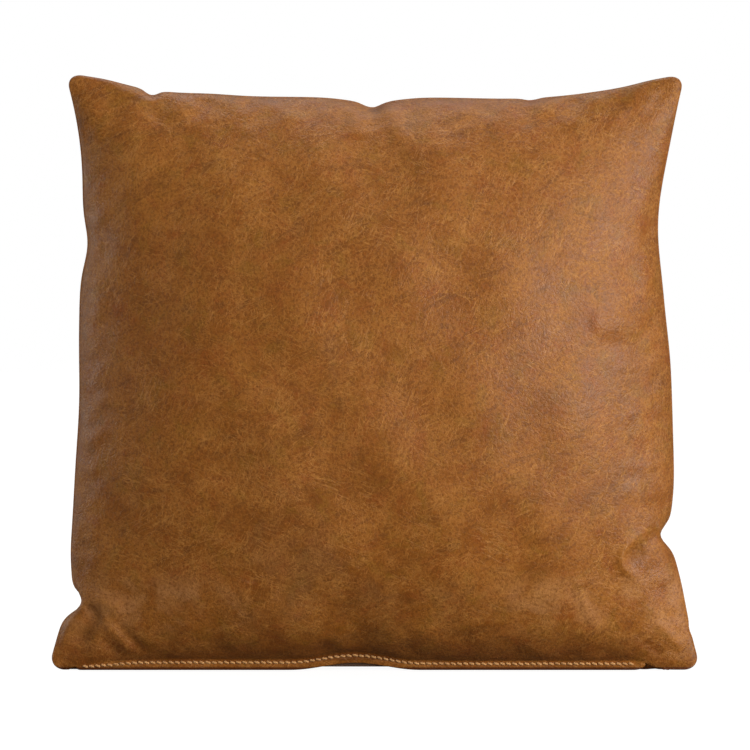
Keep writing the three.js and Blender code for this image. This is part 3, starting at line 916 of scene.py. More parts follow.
@dataclass(frozen=True)
class PliedThread:
    """Waxed thread, twisted of three plies.

    Attributes:
        name: Its name.
        light: Colour of the plies' backs.
        dark: The painted shade between them, also used for the soil.
    """

    name: str
    light: Colour
    dark: Colour

    def material(self) -> Material:
        """The thread's material."""
        material, sheet = fresh_material(self.name, self.light)
        place = sheet.place()
        slant = sheet.turned(place, (0.0, 0.9, 0.0))
        wave = sheet.add("ShaderNodeTexWave", wave_type="BANDS", bands_direction="X")
        sheet.feed(wave, Vector=slant, Scale=420.0, Distortion=0.6, Detail=1.0)
        plies = wave.outputs["Fac"]
        fuzz = sheet.noise(place, 2600.0, 3.0, 0.6)
        soil = sheet.noise(place, 60.0, 3.0)
        # Painted shade between the plies; the soil mixed in below is real.
        color = sheet.mix(sheet.spread(plies, 0.15, 0.75), self.dark, self.light)
        color = sheet.mix(sheet.spread(soil, 0.48, 0.70, 0.0, 0.45), color, self.dark)
        height = sheet.plus(plies, sheet.times(fuzz, 0.3))
        sheet.surface(color, 0.55, height, 0.00012, Sheen_Weight=0.25)
        return material


@dataclass(frozen=True)
class WovenCloth:
    """A plain woven cloth, with stripes where it has them.

    Attributes:
        name: Its name.
        yarn: Its ground colour.
        shade: The colour between its threads.
        threads: To the metre.
        stripe: The colour of its stripes.
        pitch: From stripe to stripe; none when 0.
        rough: Its roughness.
        flat: Whether it lies along X and Z, and not along its own map.
    """

    name: str
    yarn: Colour
    shade: Colour
    threads: float
    stripe: Colour = (0.0, 0.0, 0.0)
    pitch: float = 0.0
    rough: float = 0.85
    flat: bool = True

    def material(self, weave: bpy.types.NodeTree) -> Material:
        """The cloth's material.

        Args:
            weave: The shared weave.

        Returns:
            The material.
        """
        material, sheet = fresh_material(self.name, self.yarn)
        if self.flat:
            place = sheet.turned(sheet.place(), (math.pi / 2, 0, 0))
        else:
            place = sheet.add("ShaderNodeUVMap", uv_map="cut").outputs["UV"]
        woven = sheet.add("ShaderNodeGroup", node_tree=weave)
        sheet.feed(woven, Place=place, Threads=self.threads)
        height = woven.outputs["Height"]
        slub = sheet.noise(sheet.place(), 150.0, 4.0, 0.6)
        color = sheet.mix(sheet.spread(height, 0.1, 0.8), self.shade, self.yarn)
        if self.pitch:
            split = sheet.split(place)
            turn = sheet.times(split["X"], math.tau / self.pitch)
            band = sheet.spread(sheet.math("COSINE", turn), 0.86, 0.92, 0.0, 0.8)
            color = sheet.mix(band, color, self.stripe)
        color = sheet.mix(sheet.spread(slub, 0.5, 0.75, 0.0, 0.3), color, self.shade)
        sheet.surface(color, self.rough, height, 0.00022, Sheen_Weight=0.2)
        return material


@dataclass(frozen=True)
class Nylon:
    """The coil's nylon: smooth and dark.

    Attributes:
        color: Of the nylon.
    """

    color: Colour = (0.045, 0.022, 0.012)

    def material(self) -> Material:
        """The coil's material."""
        material, sheet = fresh_material("Zip coil nylon", self.color)
        place = sheet.place()
        drift = sheet.noise(place, 300.0, 3.0)
        color = sheet.mix(sheet.spread(drift, 0.4, 0.7), self.color, tuple(2 * c for c in self.color))
        sheet.surface(color, 0.32, drift, 0.00004)
        return material


@dataclass(frozen=True)
class AgedBrass:
    """Antiqued brass, tarnished in patches.

    Attributes:
        bright: Colour of the bare metal.
        dull: Colour of the tarnish.
    """

    bright: Colour = (0.52, 0.36, 0.14)
    dull: Colour = (0.11, 0.066, 0.028)

    def material(self) -> Material:
        """The material of the slider, its pull and the stops."""
        material, sheet = fresh_material("Antiqued brass", self.bright)
        place = sheet.place()
        tarnish = sheet.noise(place, 420.0, 5.0, 0.65)
        brushed = sheet.noise(sheet.turned(place, scale=(60.0, 900.0, 900.0)), 3.0, 2.0)
        color = sheet.mix(sheet.spread(tarnish, 0.42, 0.62), self.dull, self.bright)
        rough = sheet.spread(tarnish, 0.4, 0.65, 0.5, 0.27)
        sheet.surface(color, rough, brushed, 0.00003, Metallic=1.0)
        return material


@dataclass(frozen=True)
class Fibre:
    """White polyester fibre, matted together.

    Attributes:
        color: Of the fibre.
        shade: Between its clumps.
    """

    color: Colour = (0.80, 0.79, 0.76)
    shade: Colour = (0.52, 0.51, 0.49)

    def material(self) -> Material:
        """The filling's material."""
        material, sheet = fresh_material("Fibre filling", self.color)
        place = sheet.place()
        clumps = sheet.noise(place, 38.0, 6.0, 0.7, 1.5)
        hairs = sheet.noise(sheet.turned(place, (0.4, 0.8, 0.2), (1.0, 6.0, 1.5)), 260.0, 5.0, 0.8, 2.0)
        color = sheet.mix(sheet.spread(clumps, 0.3, 0.6), self.shade, self.color)
        height = sheet.plus(clumps, sheet.times(hairs, 0.5))
        sheet.surface(color, 0.98, height, 0.003, Sheen_Weight=0.5)
        return material


# ---- The cover's outline ----


@dataclass(frozen=True)
class Outline:
    """The stuffed cover seen from the front: a square drawn in along its sides.

    Attributes:
        height: From the base to the top corners.
        half_bottom: Half the width along the bottom, within the fold.
        half_top: The same along the top.
        waist: How far each side is drawn in halfway up.
        dip: How far the top is drawn down in its middle.
        nose: How far the fold stands out of the outline.
        lip: Height of the folded lip along the opening.
        opening: Where the opening starts and ends.
        run_out: Over how much the lip fades into the seam.
        hump: Rise of the arch in the lip.
        hump_place: Where it is.
        hump_half: Half its width.
        corner: Share of the half width and height that the corners' rounding takes.
        left: Where the left edge is drawn in.
        right: Where the right edge is drawn in.
        top: Where the top edge is drawn in.
    """

    height: float = 0.457
    half_bottom: float = 0.2501
    half_top: float = 0.2371
    waist: float = 0.017
    dip: float = 0.018
    nose: float = 0.0009
    lip: float = 0.0068
    opening: tuple[float, float] = (-0.228, 0.207)
    run_out: float = 0.010
    hump: float = 0.0055
    hump_place: float = -0.015
    hump_half: float = 0.050
    corner: float = 0.050
    left: tuple[Tuck, ...] = (
        Tuck(0.395, -0.0030, 0.060),
        Tuck(0.326, -0.0048, 0.020),
        Tuck(0.205, -0.0018, 0.040),
        Tuck(0.052, -0.0125, 0.0085, 0.07),
        Tuck(0.060, -0.0045, 0.022, 0.12),
    )
    right: tuple[Tuck, ...] = (
        Tuck(0.340, -0.0082, 0.055),
        Tuck(0.272, -0.0015, 0.030),
        Tuck(0.1035, -0.0085, 0.0085, 0.07),
        Tuck(0.104, -0.0055, 0.028, 0.14),
        Tuck(0.0315, -0.0012, 0.0035, 0.04),
    )
    top: tuple[Tuck, ...] = (
        Tuck(-0.207, 0.0028, 0.024),
        Tuck(-0.1705, -0.0046, 0.0055, 0.06),
        Tuck(-0.125, 0.0010, 0.022),
        Tuck(-0.002, -0.0046, 0.0075, 0.08),
        Tuck(-0.002, -0.0040, 0.026, 0.16),
        Tuck(0.118, -0.0021, 0.055),
        Tuck(0.1195, -0.0020, 0.0055, 0.06),
        Tuck(0.211, 0.0012, 0.016),
    )

    def half_width(self, z: Array) -> Array:
        """Half the width at a height, before the tucks.

        Args:
            z: The height.

        Returns:
            Half the width there.
        """
        share = z / self.height
        straight = self.half_bottom + (self.half_top - self.half_bottom) * share
        return straight - self.waist * (1 - (2 * share - 1) ** 4)

    def lip_share(self, x: Array) -> Array:
        """1 along the opening, 0 along the seams beside it.

        Args:
            x: Places across.

        Returns:
            The share of a lip there is.
        """
        outside = np.maximum(np.maximum(self.opening[0] - x, x - self.opening[1]), 0)
        return 1 - eased(outside, 0, self.run_out)

    def lip_height(self, x: Array) -> Array:
        """Height of the lip: low at its left end, then full, and a little less on the right.

        Args:
            x: Places across.

        Returns:
            Its height there.
        """
        rise = 0.50 + 0.68 * eased(x, self.opening[0] - 0.004, self.opening[0] + 0.056)
        return self.lip * (rise - 0.20 * eased(x, -0.04, 0.08))

    def hump_at(self, x: Array) -> Array:
        """Rise of the folded edge at a place.

        Args:
            x: Places across.

        Returns:
            The rise.
        """
        along = np.clip((x - self.hump_place) / self.hump_half, -1, 1)
        return self.hump * np.cos(along * math.pi / 2) ** 2

    def bottom_at(self, across: Array) -> Array:
        """Height of the line from which the panels swell.

        Args:
            across: Places across, as shares.

        Returns:
            The height.
        """
        x = across * self.half_bottom
        return self.nose + (self.lip_height(x) - self.nose) * self.lip_share(x) + self.hump_at(x)

    def top_at(self, across: Array) -> Array:
        """Height of the top seam, before the tucks.

        Args:
            across: Places across, as shares.

        Returns:
            The height.
        """
        return self.height - self.nose - self.dip * (1 - across**4)

    def rounded(self, across: Array, level: Array) -> tuple[Array, Array, Array, Array]:
        """Carry the square of shares over to one with rounded corners.

        Args:
            across: Shares across.
            level: Shares up.

        Returns:
            The shares there, and at the edge the direction out of the outline.
        """
        begin = 1 - self.corner
        a = np.maximum((np.abs(across) - begin) / self.corner, 0)
        b = np.maximum((np.abs(level) - begin) / self.corner, 0)
        out_x = np.sign(across) * a * np.sqrt(1 - b * b / 2)
        out_z = np.sign(level) * b * np.sqrt(1 - a * a / 2)
        inner_x, inner_z = np.clip(across, -begin, begin), np.clip(level, -begin, begin)
        return inner_x + out_x * self.corner, inner_z + out_z * self.corner, out_x, out_z

    def place(
        self, across: Array, level: Array, inset: float = 0.0, floor: float | None = None
    ) -> tuple[Array, Array]:
        """A place on the pillow's middle plane.

        Args:
            across: From -1 at the left edge to 1 at the right.
            level: From -1 at the bottom edge to 1 at the top.
            inset: How far the edges are moved in.
            floor: A height of its own for the bottom edge.

        Returns:
            Places across and up.
        """
        across, level, _, _ = self.rounded(np.asarray(across, float), np.asarray(level, float))
        low = self.bottom_at(across) + inset if floor is None else floor
        high = self.top_at(across) - inset
        z = low + (high - low) * (level + 1) / 2
        x = across * (self.half_width(z) - inset)
        for tucks, way in ((self.left, -1.0), (self.right, 1.0)):
            for tuck in tucks:
                felt = np.clip(1 - (1 - across * way) / tuck.flow, 0, 1) ** 2
                x = x + way * tuck.out * bell(z - tuck.place, tuck.reach) * felt
        for tuck in self.top:
            felt = np.clip(1 - (1 - level) / tuck.flow, 0, 1) ** 2
            z = z + tuck.out * bell(x - tuck.place, tuck.reach) * felt
        return x, z


def crown(across: Array, level: Array, power: float = 2.4, edge: float = 0.75) -> Array:
    """How full the pillow is.

    Args:
        across: Places across, as shares.
        level: Places up, as shares.
        power: How far the fullness reaches towards the edges.
        edge: How steeply it falls off there; lower is steeper.

    Returns:
        From 0 along the edges to 1 in the middle.
    """
    full = (1 - np.abs(across) ** power) * (1 - np.abs(level) ** power)
    return np.maximum(full, 0) ** edge


# ---- Stuffed panels ----


@dataclass(frozen=True)
class Cloth:
    """How a panel is let swell under the filling's pressure.

    Attributes:
        pressure: Of the filling.
        cap: How far a point may move.
        cut: The flat panel's size against its outline's; the spare makes the puckers.
        bending: Stiffness against folding.
        tension: Stiffness against stretching.
        mass: Of a point.
        frames: How long it swells.
    """

    pressure: float = 4.0
    cap: float = 0.008
    cut: float = 1.035
    bending: float = 6.0
    tension: float = 60.0
    mass: float = 0.35
    frames: int = 20

    def swell(self, side: Side, name: str, points: Array, flat: Array) -> Array:
        """Let a panel swell, with its edges held by the seams.

        Args:
            side: Which panel, since it swells away from the other.
            name: The panel's name.
            points: Its grid of points.
            flat: The same points on the flat panel as it was cut.

        Returns:
            The grid after swelling.
        """
        columns, rows = points.shape[:2]
        faces = grid_faces(columns, rows)
        if side is Side.BACK:
            faces = [face[::-1] for face in faces]
        piece = mesh_piece(name + "_cloth", points.reshape(-1, 3), faces)
        piece.shape_key_add(name="sewn")
        cut = piece.shape_key_add(name="cut")
        cut.data.foreach_set("co", (flat * self.cut).astype(np.float32).ravel())
        held = piece.vertex_groups.new(name="seam")
        _, edge = grid_numbers(columns, rows)
        held.add([int(n) for n in np.sort(edge)], 1.0, "REPLACE")
        cloth = piece.modifiers.new("swell", "CLOTH")
        settings = cloth.settings
        settings.vertex_group_mass = "seam"
        settings.rest_shape_key = cut
        settings.use_pressure = True
        settings.uniform_pressure_force = self.pressure
        settings.mass = self.mass
        settings.tension_stiffness = settings.compression_stiffness = self.tension
        settings.shear_stiffness = self.tension / 3
        settings.bending_stiffness = self.bending
        settings.air_damping = 2.0
        settings.effector_weights.gravity = 0.0
        cloth.collision_settings.use_collision = False
        cloth.collision_settings.use_self_collision = False
        cloth.point_cache.frame_end = self.frames
        scene = bpy.context.scene
        for turn in range(1, self.frames + 1):
            scene.frame_set(turn)
        shown = piece.evaluated_get(bpy.context.evaluated_depsgraph_get())
        swollen = np.empty(columns * rows * 3, np.float32)
        shown.data.vertices.foreach_get("co", swollen)
        scene.frame_set(1)
        bpy.data.objects.remove(piece, do_unlink=True)
        moved = swollen.reshape(points.shape).astype(float) - points
        far = np.linalg.norm(moved, axis=2, keepdims=True)
        return points + moved * self.cap / (self.cap + far)


def grid_numbers(columns: int, rows: int) -> tuple[Array, Array]:
    """Number a grid's points, up each column in turn.

    Args:
        columns: Points across.
        rows: Points up.

    Returns:
        The numbers on the grid, and those of its edge, once round it from the lower left.
    """
    numbers = np.arange(columns * rows).reshape(columns, rows)
    edge = np.concatenate([numbers[:-1, 0], numbers[-1, :-1], numbers[:0:-1, -1], numbers[0, :0:-1]])
    return numbers, edge


def grid_faces(columns: int, rows: int) -> list[tuple[int, int, int, int]]:
    """Faces of a grid whose points are numbered up each column in turn.

    Args:
        columns: Points across.
        rows: Points up.

    Returns:
        The faces, by their corners' numbers.
    """
    numbers, _ = grid_numbers(columns, rows)
    corners = (numbers[:-1, :-1], numbers[1:, :-1], numbers[1:, 1:], numbers[:-1, 1:])
    return [tuple(int(n) for n in face) for face in zip(*(c.ravel() for c in corners))]


def slab(name: str, front: Array, back: Array) -> Piece:
    """A closed body between two grids of the same size.

    Args:
        name: Its name.
        front: The grid on its front.
        back: The grid on its back.

    Returns:
        The body.
    """
    columns, rows = front.shape[:2]
    every = columns * rows
    faces = grid_faces(columns, rows)
    behind = [tuple(i + every for i in face[::-1]) for face in faces]
    _, rim = grid_numbers(columns, rows)
    pairs = [(int(i), int(j)) for i, j in zip(rim, np.roll(rim, -1))]
    band = [(j, i, i + every, j + every) for i, j in pairs]
    return mesh_piece(name, np.vstack([front.reshape(-1, 3), back.reshape(-1, 3)]), faces + behind + band)


@dataclass
class SewnPanel:
    """One panel of a sewn case: a swollen face, a fold round its edge and a turned-in allowance.

    Attributes:
        side: Which face of the pillow it is.
        name: Its name, and the node's that it stands for.
        outline: The outline it is sewn along.
        thickness: Of the leather or cloth.
        half_gap: From the middle plane to the folded edge.
        nose: How far the fold stands out of the outline.
        allowance: How far the edge is turned in.
        swell: How far the face stands out in the middle, above its edge.
        inset: How far the outline is moved in.
        floor: A height of its own for the bottom edge.
        lip_gap: Between the two lips; no lips when 0.
        hem_top: Height of the lip's turned-in hem.
        cells: Across and up, before the last refining.
        crowding: How much closer together they are towards the edges, as an angle.
        cloth: How it is let swell.
        creases: Folds in its face.
        sharp: Narrower creases than this also change the leather's colour.
        bottom_tucks: Gaps in the fold along the bottom.
        clear: How far the face may sink towards what lies behind it; any way when 0.
        puckers: Height of the small waves along its seams.
        lumps: Height of the soft swells all over it.
        full_lift: The lift that marks the leather fully.
        seed: Which pattern of puckers and swells.
    """

    side: Side
    name: str
    outline: Outline
    thickness: float
    half_gap: float
    nose: float
    allowance: float
    swell: float
    inset: float = 0.0
    floor: float | None = None
    lip_gap: float = 0.0
    hem_top: float = 0.0
    cells: tuple[int, int] = (100, 92)
    crowding: float = 1.25
    cloth: Cloth = field(default_factory=Cloth)
    creases: tuple[Crease, ...] = ()
    # sharp: Narrower creases than this also change the leather's colour: painted highlight on their ridges,
    # painted shade in their grooves.
    sharp: float = 0.0065
    bottom_tucks: tuple[Tuck, ...] = ()
    clear: float = 0.0
    puckers: float = 0.0009
    lumps: float = 0.0012
    full_lift: float = 0.0024
    seed: int = 3

    def build(self) -> Piece:
        """The panel as one closed piece.

        Returns:
            The panel, with its flesh side on the second material.
        """
        across, level = self.shares(*self.cells)
        points = self.face(across, level)
        wide, high = self.outline.half_bottom, self.outline.height / 2
        flat = np.stack([across * wide, 0 * across, level * high], 2)
        points = self.cloth.swell(self.side, self.name, points, flat)
        points = refined(refined(points, 0), 1)
        across, level = self.shares(2 * self.cells[0], 2 * self.cells[1])
        points, lift = self.folded(points, across, level)
        if self.clear:
            least = self.side.value * self.face(across, level)[:, :, 1] - self.clear
            points[:, :, 1] = self.side.value * np.maximum(self.side.value * points[:, :, 1], least)
        return self.sewn(points, across, level, lift)

    def shares(self, columns: int, rows: int) -> tuple[Array, Array]:
        """Shares across and up a grid.

        Args:
            columns: Cells across.
            rows: Cells up.

        Returns:
            The shares, from -1 to 1, closer together towards the edges.
        """
        bend = self.crowding
        steps = [np.sin(bend * np.linspace(-1, 1, count + 1)) / math.sin(bend) for count in (columns, rows)]
        return tuple(np.meshgrid(*steps, indexing="ij"))

    def lip_at(self, across: Array, level: Array) -> Array:
        """How much of a lip there is at a place, fading up the panel.

        Args:
            across: Places across, as shares.
            level: Places up, as shares.

        Returns:
            The share, 1 along the opening.
        """
        if not self.lip_gap:
            return 0.0 * across
        return self.outline.lip_share(across * self.outline.half_bottom) * ((1 - level) / 2) ** 12

    def edge_depth(self, lip: Array) -> Array:
        """Depth of the folded edge from the middle plane.

        Args:
            lip: How much of a lip there is.

        Returns:
            The depth.
        """
        wider = self.lip_gap / 2 - self.half_gap if self.lip_gap else 0.0
        return self.half_gap + wider * lip

    def face(self, across: Array, level: Array) -> Array:
        """The plain swollen face.

        Args:
            across: Places across, as shares.
            level: Places up, as shares.

        Returns:
            A grid of points.
        """
        x, z = self.outline.place(across, level, self.inset, self.floor)
        edge = self.edge_depth(self.lip_at(across, level)) + 2 * self.thickness
        depth = edge + (self.swell - edge) * crown(across, level)
        return np.stack([x, self.side.value * depth, z], 2)

    def folded(self, points: Array, across: Array, level: Array) -> tuple[Array, Array]:
        """Lay the creases, puckers and swells on the face.

        Args:
            points: The swollen grid.
            across: Places across, as shares.
            level: Places up, as shares.

        Returns:
            The grid, and how much the sharp creases lifted each point.
        """
        x, z = points[:, :, 0], points[:, :, 2]
        from_side = (1 - np.abs(across)) * self.outline.half_top
        from_end = (1 - np.abs(level)) * self.outline.height / 2
        inland = np.minimum(from_side, from_end)
        lift = self.lumps * ripples(x, z, 0.085, self.seed) * eased(inland, 0.0, 0.05)
        waves = ripples(x * 1.3, z * 1.3, 0.034, self.seed + 1)
        waves = waves + 0.5 * ripples(x, z, 0.017, self.seed + 2)
        near = bell(inland - 0.012, 0.018)
        lift = lift + self.puckers * waves * near
        marks = 0.0 * x
        for crease in self.creases:
            raised = crease.lift(x, z)
            lift = lift + raised
            if crease.width < self.sharp:
                marks = marks + raised
        free = eased(inland, 0.0, 0.006)
        normal = grid_normals(points) * (1 if self.side is Side.FRONT else -1)
        return points + normal * (lift * free)[:, :, None], marks * free

    def rings(self, across: Array, level: Array, edge: Array) -> list[Array]:
        """The rows of points that carry the face round its fold and back inside.

        Args:
            across: Shares across, round the edge.
            level: Shares up, round the edge.
            edge: The face's own points round the edge.

        Returns:
            The rows, from the outside in.
        """
        _, _, out_x, out_z = self.outline.rounded(across, level)
        lowest = level < -0.9999
        lip = np.where(lowest, self.lip_at(across, level), 0.0)
        gap = self.edge_depth(lip)
        full = self.outline.lip_height(across * self.outline.half_bottom)
        reach = self.nose + (full - self.nose) * lip if self.lip_gap else self.nose + 0 * lip
        for tuck in self.bottom_tucks:
            felt = bell(edge[:, 0] - tuck.place, tuck.reach) * lowest
            reach = reach + tuck.out * felt
        turned = self.allowance + 0 * lip
        if self.lip_gap:
            turned = turned + (self.hem_top - edge[:, 2] - self.allowance) * lip
        start = reach - self.thickness
        rows = [(0.5 * np.maximum(start, 0), gap + 2 * self.thickness)]
        for angle in map(math.radians, (35, 60, 90, 120, 150, 180)):
            out = start + self.thickness * math.sin(angle)
            rows.append((out, gap + self.thickness + self.thickness * math.cos(angle)))
        rows += [(start - share * (start + turned), gap) for share in (0.5, 1.0)]
        return [
            np.stack([edge[:, 0] + out * out_x, self.side.value * depth, edge[:, 2] + out * out_z], 1)
            for out, depth in rows
        ]

    def sewn(self, points: Array, across: Array, level: Array, lift: Array) -> Piece:
        """The sheet with its fold, thickened into one closed piece.

        Args:
            points: The finished face.
            across: Shares across.
            level: Shares up.
            lift: How much each point was lifted.

        Returns:
            The panel.
        """
        columns, rows = across.shape
        _, round_edge = grid_numbers(columns, rows)
        flat_across, flat_level = across.ravel(), level.ravel()
        corners = points.reshape(-1, 3)
        bands = self.rings(flat_across[round_edge], flat_level[round_edge], corners[round_edge])
        faces = grid_faces(columns, rows)
        last, count = round_edge, len(round_edge)
        for number in range(len(bands)):
            band = len(corners) + number * count + np.arange(count)
            for i in range(count):
                j = (i + 1) % count
                faces.append((int(last[j]), int(last[i]), int(band[i]), int(band[j])))
            last = band
        vertices = np.vstack([corners, *bands])
        if self.side is Side.BACK:
            faces = [face[::-1] for face in faces]
        piece = mesh_piece(self.name, vertices, faces)
        self.keep_marks(piece, flat_across, flat_level, lift.ravel(), round_edge, len(bands))
        thick = piece.modifiers.new("thickness", "SOLIDIFY")
        thick.thickness = self.thickness * 0.96
        thick.offset = -1.0
        thick.material_offset = thick.material_offset_rim = 1
        take_up(piece)
        bpy.ops.object.modifier_apply(modifier=thick.name)
        return piece

    def keep_marks(
        self, piece: Piece, across: Array, level: Array, lift: Array, edge: Array, bands: int
    ) -> None:
        """Keep the cut's map, the distance from the seams and the folds on the mesh.

        Args:
            piece: The sheet.
            across: Shares across the face.
            level: Shares up the face.
            lift: How much each point was lifted.
            edge: The points round the face's edge.
            bands: How many rows there are round the fold.
        """
        wide, high = self.outline.half_bottom, self.outline.height / 2
        inland = np.minimum((1 - np.abs(across)) * wide, (1 - np.abs(level)) * high)
        seam = np.concatenate([inland, *([inland[edge]] * bands)])
        fold = np.concatenate([lift / self.full_lift, *([lift[edge]] * bands)])
        for name, values in (("seam", seam), ("fold", np.clip(fold, -1, 1))):
            kept = piece.data.attributes.new(name, "FLOAT", "POINT")
            kept.data.foreach_set("value", values.astype(np.float32))
        u = np.concatenate([across * wide, *([across[edge] * wide] * bands)])
        below = [level[edge] * high - 0.001 * (n + 1) for n in range(bands)]
        v = np.concatenate([level * high, *below])
        corner = np.empty(len(piece.data.loops), np.int32)
        piece.data.loops.foreach_get("vertex_index", corner)
        chart = piece.data.uv_layers.new(name="cut")
        chart.data.foreach_set("uv", np.stack([u, v], 1)[corner].astype(np.float32).ravel())


# ---- Sub-assemblies ----


@dataclass
class Cover:
    """The leather cover: two panels, their seams and the stitched lips.

    Attributes:
        outline: The outline it is sewn along.
        leather: The leather's thickness.
        seam_half_gap: From the middle plane to a closed seam's fold.
        allowance: How far the edges are turned in.
        lip_gap: Between the two lips.
        hem_top: Height of the lips' turned-in hem.
        half_thickness: From the middle plane to the fullest point.
        label_thickness: Of the labels.
        label_depth: From the leather's inside to a label's middle.
        stitch_pitch: From stitch to stitch along the lips.
        stitch_length: Of such a stitch.
        stitch_thickness: Of its thread.
        stitch_line: Height of the row, as a share of the lip's.
        stitch_sink: How far the thread sinks into the leather.
        stitch_slant: Fall of a stitch over 2 mm of its run.
        stitch_stray: How far a stitch strays from the row, as a rule.
        seam_set_back: From the outline to the closed seams' stitches.
        seam_pitch: From stitch to stitch there.
        seam_stitch: Length of such a stitch.
        seam_thread: Its thread's thickness.
    """

    outline: Outline = field(default_factory=Outline)
    leather: float = 0.0012
    seam_half_gap: float = 0.0007
    allowance: float = 0.008
    lip_gap: float = 0.006
    hem_top: float = 0.0115
    half_thickness: float = 0.0815
    label_thickness: float = 0.0004
    label_depth: float = 0.0011
    stitch_pitch: float = 0.0047
    stitch_length: float = 0.0041
    stitch_thickness: float = 0.00170
    stitch_line: float = 0.74
    stitch_sink: float = 0.00060
    stitch_slant: float = 0.00055
    stitch_stray: float = 0.00008
    seam_set_back: float = 0.0016
    seam_pitch: float = 0.0034
    seam_stitch: float = 0.0030
    seam_thread: float = 0.0008

    def front_creases(self) -> tuple[Crease, ...]:
        """The folds in the front face, most of them towards the lower corners."""
        return (
            Crease((0.202, 0.070), (0.1875, 0.0885), (0.205, 0.108), 0.0024, 0.0030, 0.0036, 0.0105),
            Crease((0.160, 0.262), (0.182, 0.267), (0.206, 0.258), 0.0016, 0.0095),
            Crease((0.188, 0.143), (0.197, 0.139), (0.208, 0.142), 0.0014, 0.0080),
            Crease((0.166, 0.246), (0.186, 0.249), (0.208, 0.243), -0.0010, 0.0070),
            Crease((0.219, 0.116), (0.2165, 0.109), (0.219, 0.101), 0.0012, 0.0018),
            Crease((0.206, 0.101), (0.213, 0.103), (0.221, 0.1035), -0.0012, 0.0050),
            Crease((0.150, 0.078), (0.160, 0.052), (0.171, 0.030), 0.0007, 0.0020, 0.0006, 0.005),
            Crease((0.212, 0.040), (0.226, 0.027), (0.238, 0.013), 0.0016, 0.0040),
            Crease((0.204, 0.024), (0.213, 0.017), (0.222, 0.012), -0.0014, 0.0040),
            Crease((-0.224, 0.0515), (-0.2135, 0.0445), (-0.213, 0.038), -0.0032, 0.0034),
            Crease((-0.211, 0.043), (-0.219, 0.031), (-0.229, 0.018), -0.0022, 0.0055),
            Crease((-0.222, 0.047), (-0.234, 0.033), (-0.244, 0.016), 0.0015, 0.0060),
            Crease((-0.213, 0.062), (-0.203, 0.052), (-0.190, 0.048), 0.0014, 0.0060),
            Crease((-0.207, 0.037), (-0.195, 0.026), (-0.184, 0.012), 0.0014, 0.0036),
            Crease((-0.198, 0.037), (-0.187, 0.027), (-0.175, 0.013), -0.0016, 0.0036),
            Crease((-0.211, 0.027), (-0.203, 0.020), (-0.196, 0.011), -0.0013, 0.0032),
            Crease((-0.002, 0.434), (0.000, 0.426), (0.004, 0.412), -0.0012, 0.0055),
            Crease((-0.019, 0.432), (-0.014, 0.418), (-0.012, 0.404), 0.0016, 0.0060),
            Crease((0.014, 0.432), (0.016, 0.418), (0.022, 0.398), 0.0014, 0.0060),
            Crease((-0.1705, 0.436), (-0.168, 0.428), (-0.162, 0.416), -0.0010, 0.0050),
            Crease((0.1195, 0.432), (0.118, 0.424), (0.114, 0.412), -0.0007, 0.0045),
            Crease((-0.212, 0.326), (-0.198, 0.322), (-0.184, 0.316), -0.0008, 0.0060),
            Crease((0.212, 0.300), (0.196, 0.300), (0.176, 0.303), 0.0006, 0.0030),
            Crease((0.214, 0.268), (0.198, 0.266), (0.178, 0.270), 0.0006, 0.0030),
            Crease((0.216, 0.232), (0.198, 0.234), (0.180, 0.230), 0.0006, 0.0030),
            Crease((0.220, 0.196), (0.202, 0.198), (0.182, 0.193), 0.0006, 0.0030),
            Crease((0.222, 0.160), (0.206, 0.157), (0.184, 0.160), 0.0006, 0.0030),
        )

    def back_creases(self) -> tuple[Crease, ...]:
        """The folds in the back face, where the seams' pinches run into it."""
        return (
            Crease((0.214, 0.104), (0.204, 0.103), (0.190, 0.098), -0.0030, 0.0055),
            Crease((-0.218, 0.0515), (-0.206, 0.050), (-0.192, 0.046), -0.0030, 0.0050),
            Crease((-0.238, 0.016), (-0.222, 0.030), (-0.204, 0.040), 0.0011, 0.0070),
            Crease((0.205, 0.048), (0.222, 0.031), (0.238, 0.013), 0.0011, 0.0070),
            Crease((-0.002, 0.432), (-0.001, 0.418), (0.000, 0.398), -0.0026, 0.0060),
            Crease((-0.1705, 0.436), (-0.166, 0.424), (-0.160, 0.410), -0.0020, 0.0045),
            Crease((0.1195, 0.432), (0.117, 0.420), (0.112, 0.406), -0.0014, 0.0045),
            Crease((0.206, 0.330), (0.190, 0.326), (0.170, 0.326), -0.0010, 0.0060),
            Crease((-0.206, 0.300), (-0.190, 0.304), (-0.172, 0.300), -0.0010, 0.0060),
        )

    def panel(self, side: Side, grain: Material, flesh: Material) -> Piece:
        """One leather panel.

        Args:
            side: Which.
            grain: The leather's outer finish.
            flesh: Its inner finish.

        Returns:
            The panel.
        """
        forward = side is Side.FRONT
        end_gaps = (Tuck(0.2135, -0.0095, 0.0062), Tuck(-0.2305, -0.0032, 0.0022))
        panel = SewnPanel(
            side=side,
            name=f"leather_panel_{side.word}",
            outline=self.outline,
            thickness=self.leather,
            half_gap=self.seam_half_gap,
            nose=self.outline.nose,
            allowance=self.allowance,
            swell=self.half_thickness,
            lip_gap=self.lip_gap,
            hem_top=self.hem_top,
            creases=self.front_creases() if forward else self.back_creases(),
            bottom_tucks=end_gaps if forward else (),
            clear=0.0 if forward else 0.0003,
            seed=3 if forward else 23,
        )
        piece = finish_piece(panel.build(), (f"{side.word}_panel",), (grain, flesh))
        return piece

